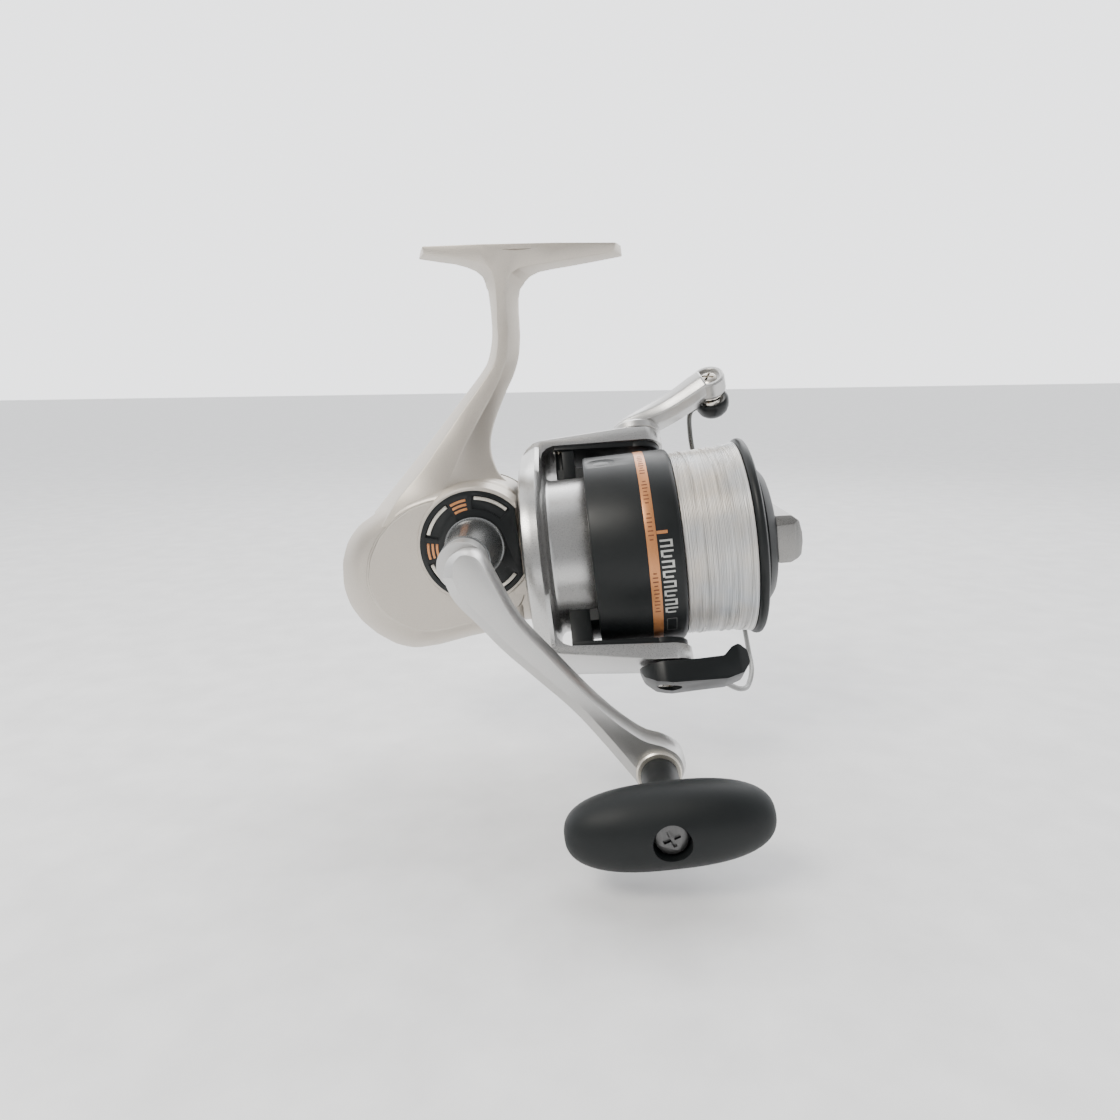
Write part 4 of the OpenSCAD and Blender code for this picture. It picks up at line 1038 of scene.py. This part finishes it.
class REEL_OT_spool(bpy.types.Operator):
    """Skirt, band with its marks, wound line, lip and drag knob"""

    bl_idname = "reel.spool"
    bl_label = "Spool"

    def execute(self, context):
        skirt = turned([(29.9, 0.3), (30.2, 0), (31.5, 0), (32, 0.2), (SKIRT_R, 0.8),
                        (SKIRT_R, 16.95), (31.8, 17), (31.8, 20.2), (SKIRT_R, 20.25),
                        (SKIRT_R, 26.9), (32.1, 27.6), (31.5, 28.2), (30.6, 28.4), (18, 28.4),
                        (18, 50.4), (4, 50.4), (4, 46.4), (2, 46.4), (2, 27), (29, 25.6),
                        (29.9, 24)])
        skirt_piece = to_object("skirt", skirt, SPOOL, 30)
        cut_out(skirt_piece, to_object("slot_cut", clip_oval(32.6, (4.9, 3.7, 0.9)), SPOOL))
        fit(skirt_piece, "spool", "skirt_black", "spool_body")

        clip = clip_oval(31.6, (3.5, 2.3, 0.35))
        add("oval_clip", clip, SPOOL, 60, "spool", "black_plastic", "line_clip")

        band = turned([(31.8, BAND_X[0]), (32.33, BAND_X[0]), (32.36, BAND_X[0] + 0.1),
                       (32.36, BAND_X[1] - 0.1), (32.33, BAND_X[1]), (31.8, BAND_X[1])])
        add("copper_band", band, SPOOL, 30, "spool", "orange_paint", "spool_band")

        # plain ticks in four groups on the band
        ticks = bmesh.new()
        for start, end in ((14, 36), (40, 57), (61, 78), (94, 121)):
            count = int((end - start) / 2.4)
            for k in range(count):
                tall = 1.7 if k % 3 else 1.1
                skirt_mark(ticks, sum(BAND_X) / 2, start + 2.4 * k, tall, 0.42, 32.37, 0.05)
        add("band_ticks", ticks, SPOOL, 32, "spool", "black_plastic", finish="mark_brown")

        # plain bars in place of lettering, and an outlined badge
        bars = bmesh.new()
        for k in range(8):
            angle = 76.5 + 5.7 * k
            skirt_mark(bars, MARKS_X, angle, 3.9, 0.62)
            skirt_mark(bars, MARKS_X - (1.6 if k % 2 else -1.6), angle + 1.5, 0.7, 1.7)
            skirt_mark(bars, MARKS_X, angle + 3.0, 2.6 if k % 2 else 3.9, 0.62)
        add("skirt_bars", bars, SPOOL, 32, "spool", "pale_silver", finish="mark_silver")
        chip = bmesh.new()
        skirt_mark(chip, MARKS_X - 0.9, 71.8, 3.4, 1.0)
        add("skirt_chip", chip, SPOOL, 32, "spool", "orange_paint")
        badge = bmesh.new()
        width = 6.6 / 8
        for hand in (-1, 1):
            for k in range(8):
                around = BADGE_ANGLE + (k - 3.5) * math.degrees(width / SKIRT_R)
                skirt_mark(badge, MARKS_X + hand * 1.5, around, 0.22, width)
            skirt_mark(badge, MARKS_X, BADGE_ANGLE + hand * 5.8, 2.9, 0.22)
        add("skirt_badge", badge, SPOOL, 32, "spool", "knob_metal", finish="mark_grey")

        rng = random.Random(sizes().seed)
        strand = sizes().strand
        turns = int((LINE_X[1] - LINE_X[0]) / strand)
        profile = [(18, LINE_X[0]), (30.3, LINE_X[0])]
        for k in range(turns):
            x = LINE_X[0] + 0.1 + k * strand
            lift = rng.uniform(-0.12, 0.10)
            base = line_radius(x + strand / 2) + lift
            profile += [(base - 0.20, x), (base - 0.03, x + 0.15 * strand),
                        (base, x + 0.5 * strand), (base - 0.03, x + 0.85 * strand)]
        profile += [(31.6, LINE_X[1]), (18, LINE_X[1])]
        line = turned(profile, steps=160)
        add("wound_line", line, SPOOL, 80, "spool", "clear_line", "fishing_line")

        # a few turns that cross the others
        loose = bmesh.new()
        for k in range(7):
            start = LINE_X[0] + 1.0 + rng.uniform(0, 17)
            slant = rng.uniform(1.5, 5.0) * rng.choice((-1, 1))
            path = []
            for i in range(97):
                t = i / 96
                x = min(max(start + slant * math.sin(TURN * t), LINE_X[0] + 0.5), LINE_X[1] - 0.8)
                r = line_radius(x) + 0.06
                path.append(Vector((x, r * math.sin(TURN * t), r * math.cos(TURN * t))))
            tube(loose, path, 0.17, 6)
        add("crossing_turns", loose, SPOOL, 60, "spool", "clear_line")

        lip = turned([(14, 50.4), (31.7, 50.4), (32.4, 50.7), (32.85, 51.2), (33, 51.7), (33, 52.4),
                      (32.8, 52.9), (32.2, 53.35), (31.4, 53.6), (25.4, 54.35), (24.9, 54.3),
                      (24.2, 53.5), (23.6, 53.2), (14, 53.2)])
        add("front_lip", lip, SPOOL, 30, "spool", "skirt_black", "spool_front_rim")

        knob = turned([(2.1, 50.9), (11.8, 50.9), (11.8, 55), (23.3, 55), (23.9, 55.2), (24, 55.6),
                       (23.6, 56.0), (21.2, 58.05), (20.5, 58.5), (19.4, 58.85), (9, 59.3),
                       (2.1, 59.3)])
        add("drag_dial", knob, SPOOL, 30, "drag_adjuster", "skirt_black", "drag_knob")

        finger = bar(rounded(FINGER_SIDE, 1.0, 3), -17, 17)
        for hand in (-1, 1):
            for slope in (0.25, 0.75):
                cut_plane(finger, (65.5, hand * (17.6 - 1.2 * slope), 0), (slope, hand, 0))
            for up in (-1, 1):
                cut_plane(finger, (0, hand * 16.4, up * 6.2), (0, hand * 0.75, up * 0.62))
        soften(finger, 0.7, 22, 3)
        add("finger_bar", finger, SPOOL, 32, "drag_adjuster", "knob_metal", "drag_knob_grip")
        return {"FINISHED"}


# ---------------------------------------------------------------- small parts

WORKED = {
    "hub_trim_plate": 0.12, "trim_silver_arcs": 0.10, "trim_orange_bars": 0.10,
    "handle_screw_cap": 0.25, "knob_screw": 0.12,
}


class REEL_OT_small_parts(bpy.types.Operator):
    """Rounded copies of the trim plate, its arcs and bars, the screw cap and the knob screw"""

    bl_idname = "reel.small_parts"
    bl_label = "Small parts"

    def execute(self, context):
        bodies = frame["record"]["behaviour"]["bodies"]
        for node, width in WORKED.items():
            body = next(name for name, nodes in bodies.items() if node in nodes)
            fit(worked_copy(node, "_finished", width), body, SLOTS[node], node)
        return {"FINISHED"}


# ---------------------------------------------------------------- stage

CAMERA_PLACE = (3.376, -276.066, 55.069)
CAMERA_TURN = (3.0515, 11.517, -7.012)
CAMERA_LENS = 26.36
FLOOR_Z = -0.171


def area_light(name, place, aim, size, power, colour=(1, 1, 1)):
    data = bpy.data.lights.new(name, "AREA")
    data.shape = "RECTANGLE"
    data.size, data.size_y = size
    data.energy = power
    data.color = colour
    lamp = bpy.data.objects.new(name, data)
    lamp.location = place
    lamp.rotation_euler = (Vector(aim) - Vector(place)).to_track_quat("-Z", "Y").to_euler()
    bpy.context.scene.collection.objects.link(lamp)


class REEL_OT_stage(bpy.types.Operator):
    """Pale floor, soft lights and the camera"""

    bl_idname = "reel.stage"
    bl_label = "Stage"

    def execute(self, context):
        scene = context.scene
        floor = bmesh.new()
        bmesh.ops.create_grid(floor, x_segments=2, y_segments=2, size=40)
        shift(floor, 0, 0, FLOOR_Z)
        pale = moulded("pale_floor", (0.95, 0.95, 0.95), 0.7, 40, 0.02, 0.1)
        piece = to_object("floor", floor, Matrix())
        piece.data.materials.append(pale)

        world = bpy.data.worlds.new("studio")
        world.use_nodes = True
        sky = world.node_tree.nodes["Background"]
        sky.inputs[0].default_value = (0.97, 0.98, 1.0, 1)
        way = world.node_tree.nodes.new("ShaderNodeTexCoord").outputs["Generated"]
        split = world.node_tree.nodes.new("ShaderNodeSeparateXYZ")
        world.node_tree.links.new(way, split.inputs[0])
        depth = spread(world.node_tree, split.outputs["Y"], 0.4, 2.7, -0.25, 0.5)
        world.node_tree.links.new(depth, sky.inputs[1])
        scene.world = world

        middle = (0, 0, -0.1)
        area_light("key", (-0.4, -0.5, 0.55), middle, (0.4, 0.3), 6.0, (1.0, 0.965, 0.90))
        area_light("fill", (0.7, -0.5, 0.1), middle, (0.3, 0.6), 0.5, (0.95, 0.97, 1.0))
        area_light("rim", (0.2, 0.6, 0.5), middle, (0.8, 0.4), 3)

        azimuth, elevation, roll = (math.radians(a) for a in CAMERA_TURN)
        back = Vector((math.sin(azimuth) * math.cos(elevation),
                       -math.cos(azimuth) * math.cos(elevation), math.sin(elevation)))
        level = Vector((0, 0, 1)).cross(back).normalized()
        upright = back.cross(level)
        right = math.cos(roll) * level + math.sin(roll) * upright
        up = -math.sin(roll) * level + math.cos(roll) * upright
        spin = SPOOL.to_3x3().normalized()
        turn = (spin @ Matrix((right, up, back)).transposed()).to_4x4()
        data = bpy.data.cameras.new("camera")
        data.sensor_width = 36
        data.lens = CAMERA_LENS
        data.clip_start = 0.01
        camera = bpy.data.objects.new("camera", data)
        camera.matrix_world = Matrix.Translation(SPOOL @ Vector(CAMERA_PLACE)) @ turn
        scene.collection.objects.link(camera)
        scene.camera = camera
        return {"FINISHED"}


# ---------------------------------------------------------------- panel and run

STEPS = (REEL_OT_finishes, REEL_OT_body, REEL_OT_handle, REEL_OT_rotor, REEL_OT_bail,
         REEL_OT_spool, REEL_OT_small_parts, REEL_OT_stage)


class REEL_PT_panel(bpy.types.Panel):
    """Lists the reel's settings and steps"""

    bl_idname = "REEL_PT_panel"
    bl_label = "Spinning reel"
    bl_space_type = "VIEW_3D"
    bl_region_type = "UI"
    bl_category = "Reel"

    def draw(self, context):
        for group in (context.scene.reel_paint, context.scene.reel_sizes):
            for name in group.__annotations__:
                self.layout.prop(group, name)
        for step in STEPS:
            self.layout.operator(step.bl_idname)


CLASSES = (ReelPaint, ReelSizes, *STEPS, REEL_PT_panel)


def register():
    for cls in CLASSES:
        bpy.utils.register_class(cls)
    bpy.types.Scene.reel_paint = PointerProperty(type=ReelPaint)
    bpy.types.Scene.reel_sizes = PointerProperty(type=ReelSizes)


def unregister():
    del bpy.types.Scene.reel_sizes
    del bpy.types.Scene.reel_paint
    for cls in reversed(CLASSES):
        bpy.utils.unregister_class(cls)


def main():
    register()
    bpy.ops.reel.finishes()
    bpy.ops.reel.body()
    bpy.ops.reel.handle()
    bpy.ops.reel.rotor()
    bpy.ops.reel.bail()
    bpy.ops.reel.spool()
    bpy.ops.reel.small_parts()
    bpy.ops.reel.stage()


if __name__ == "__main__":
    main()
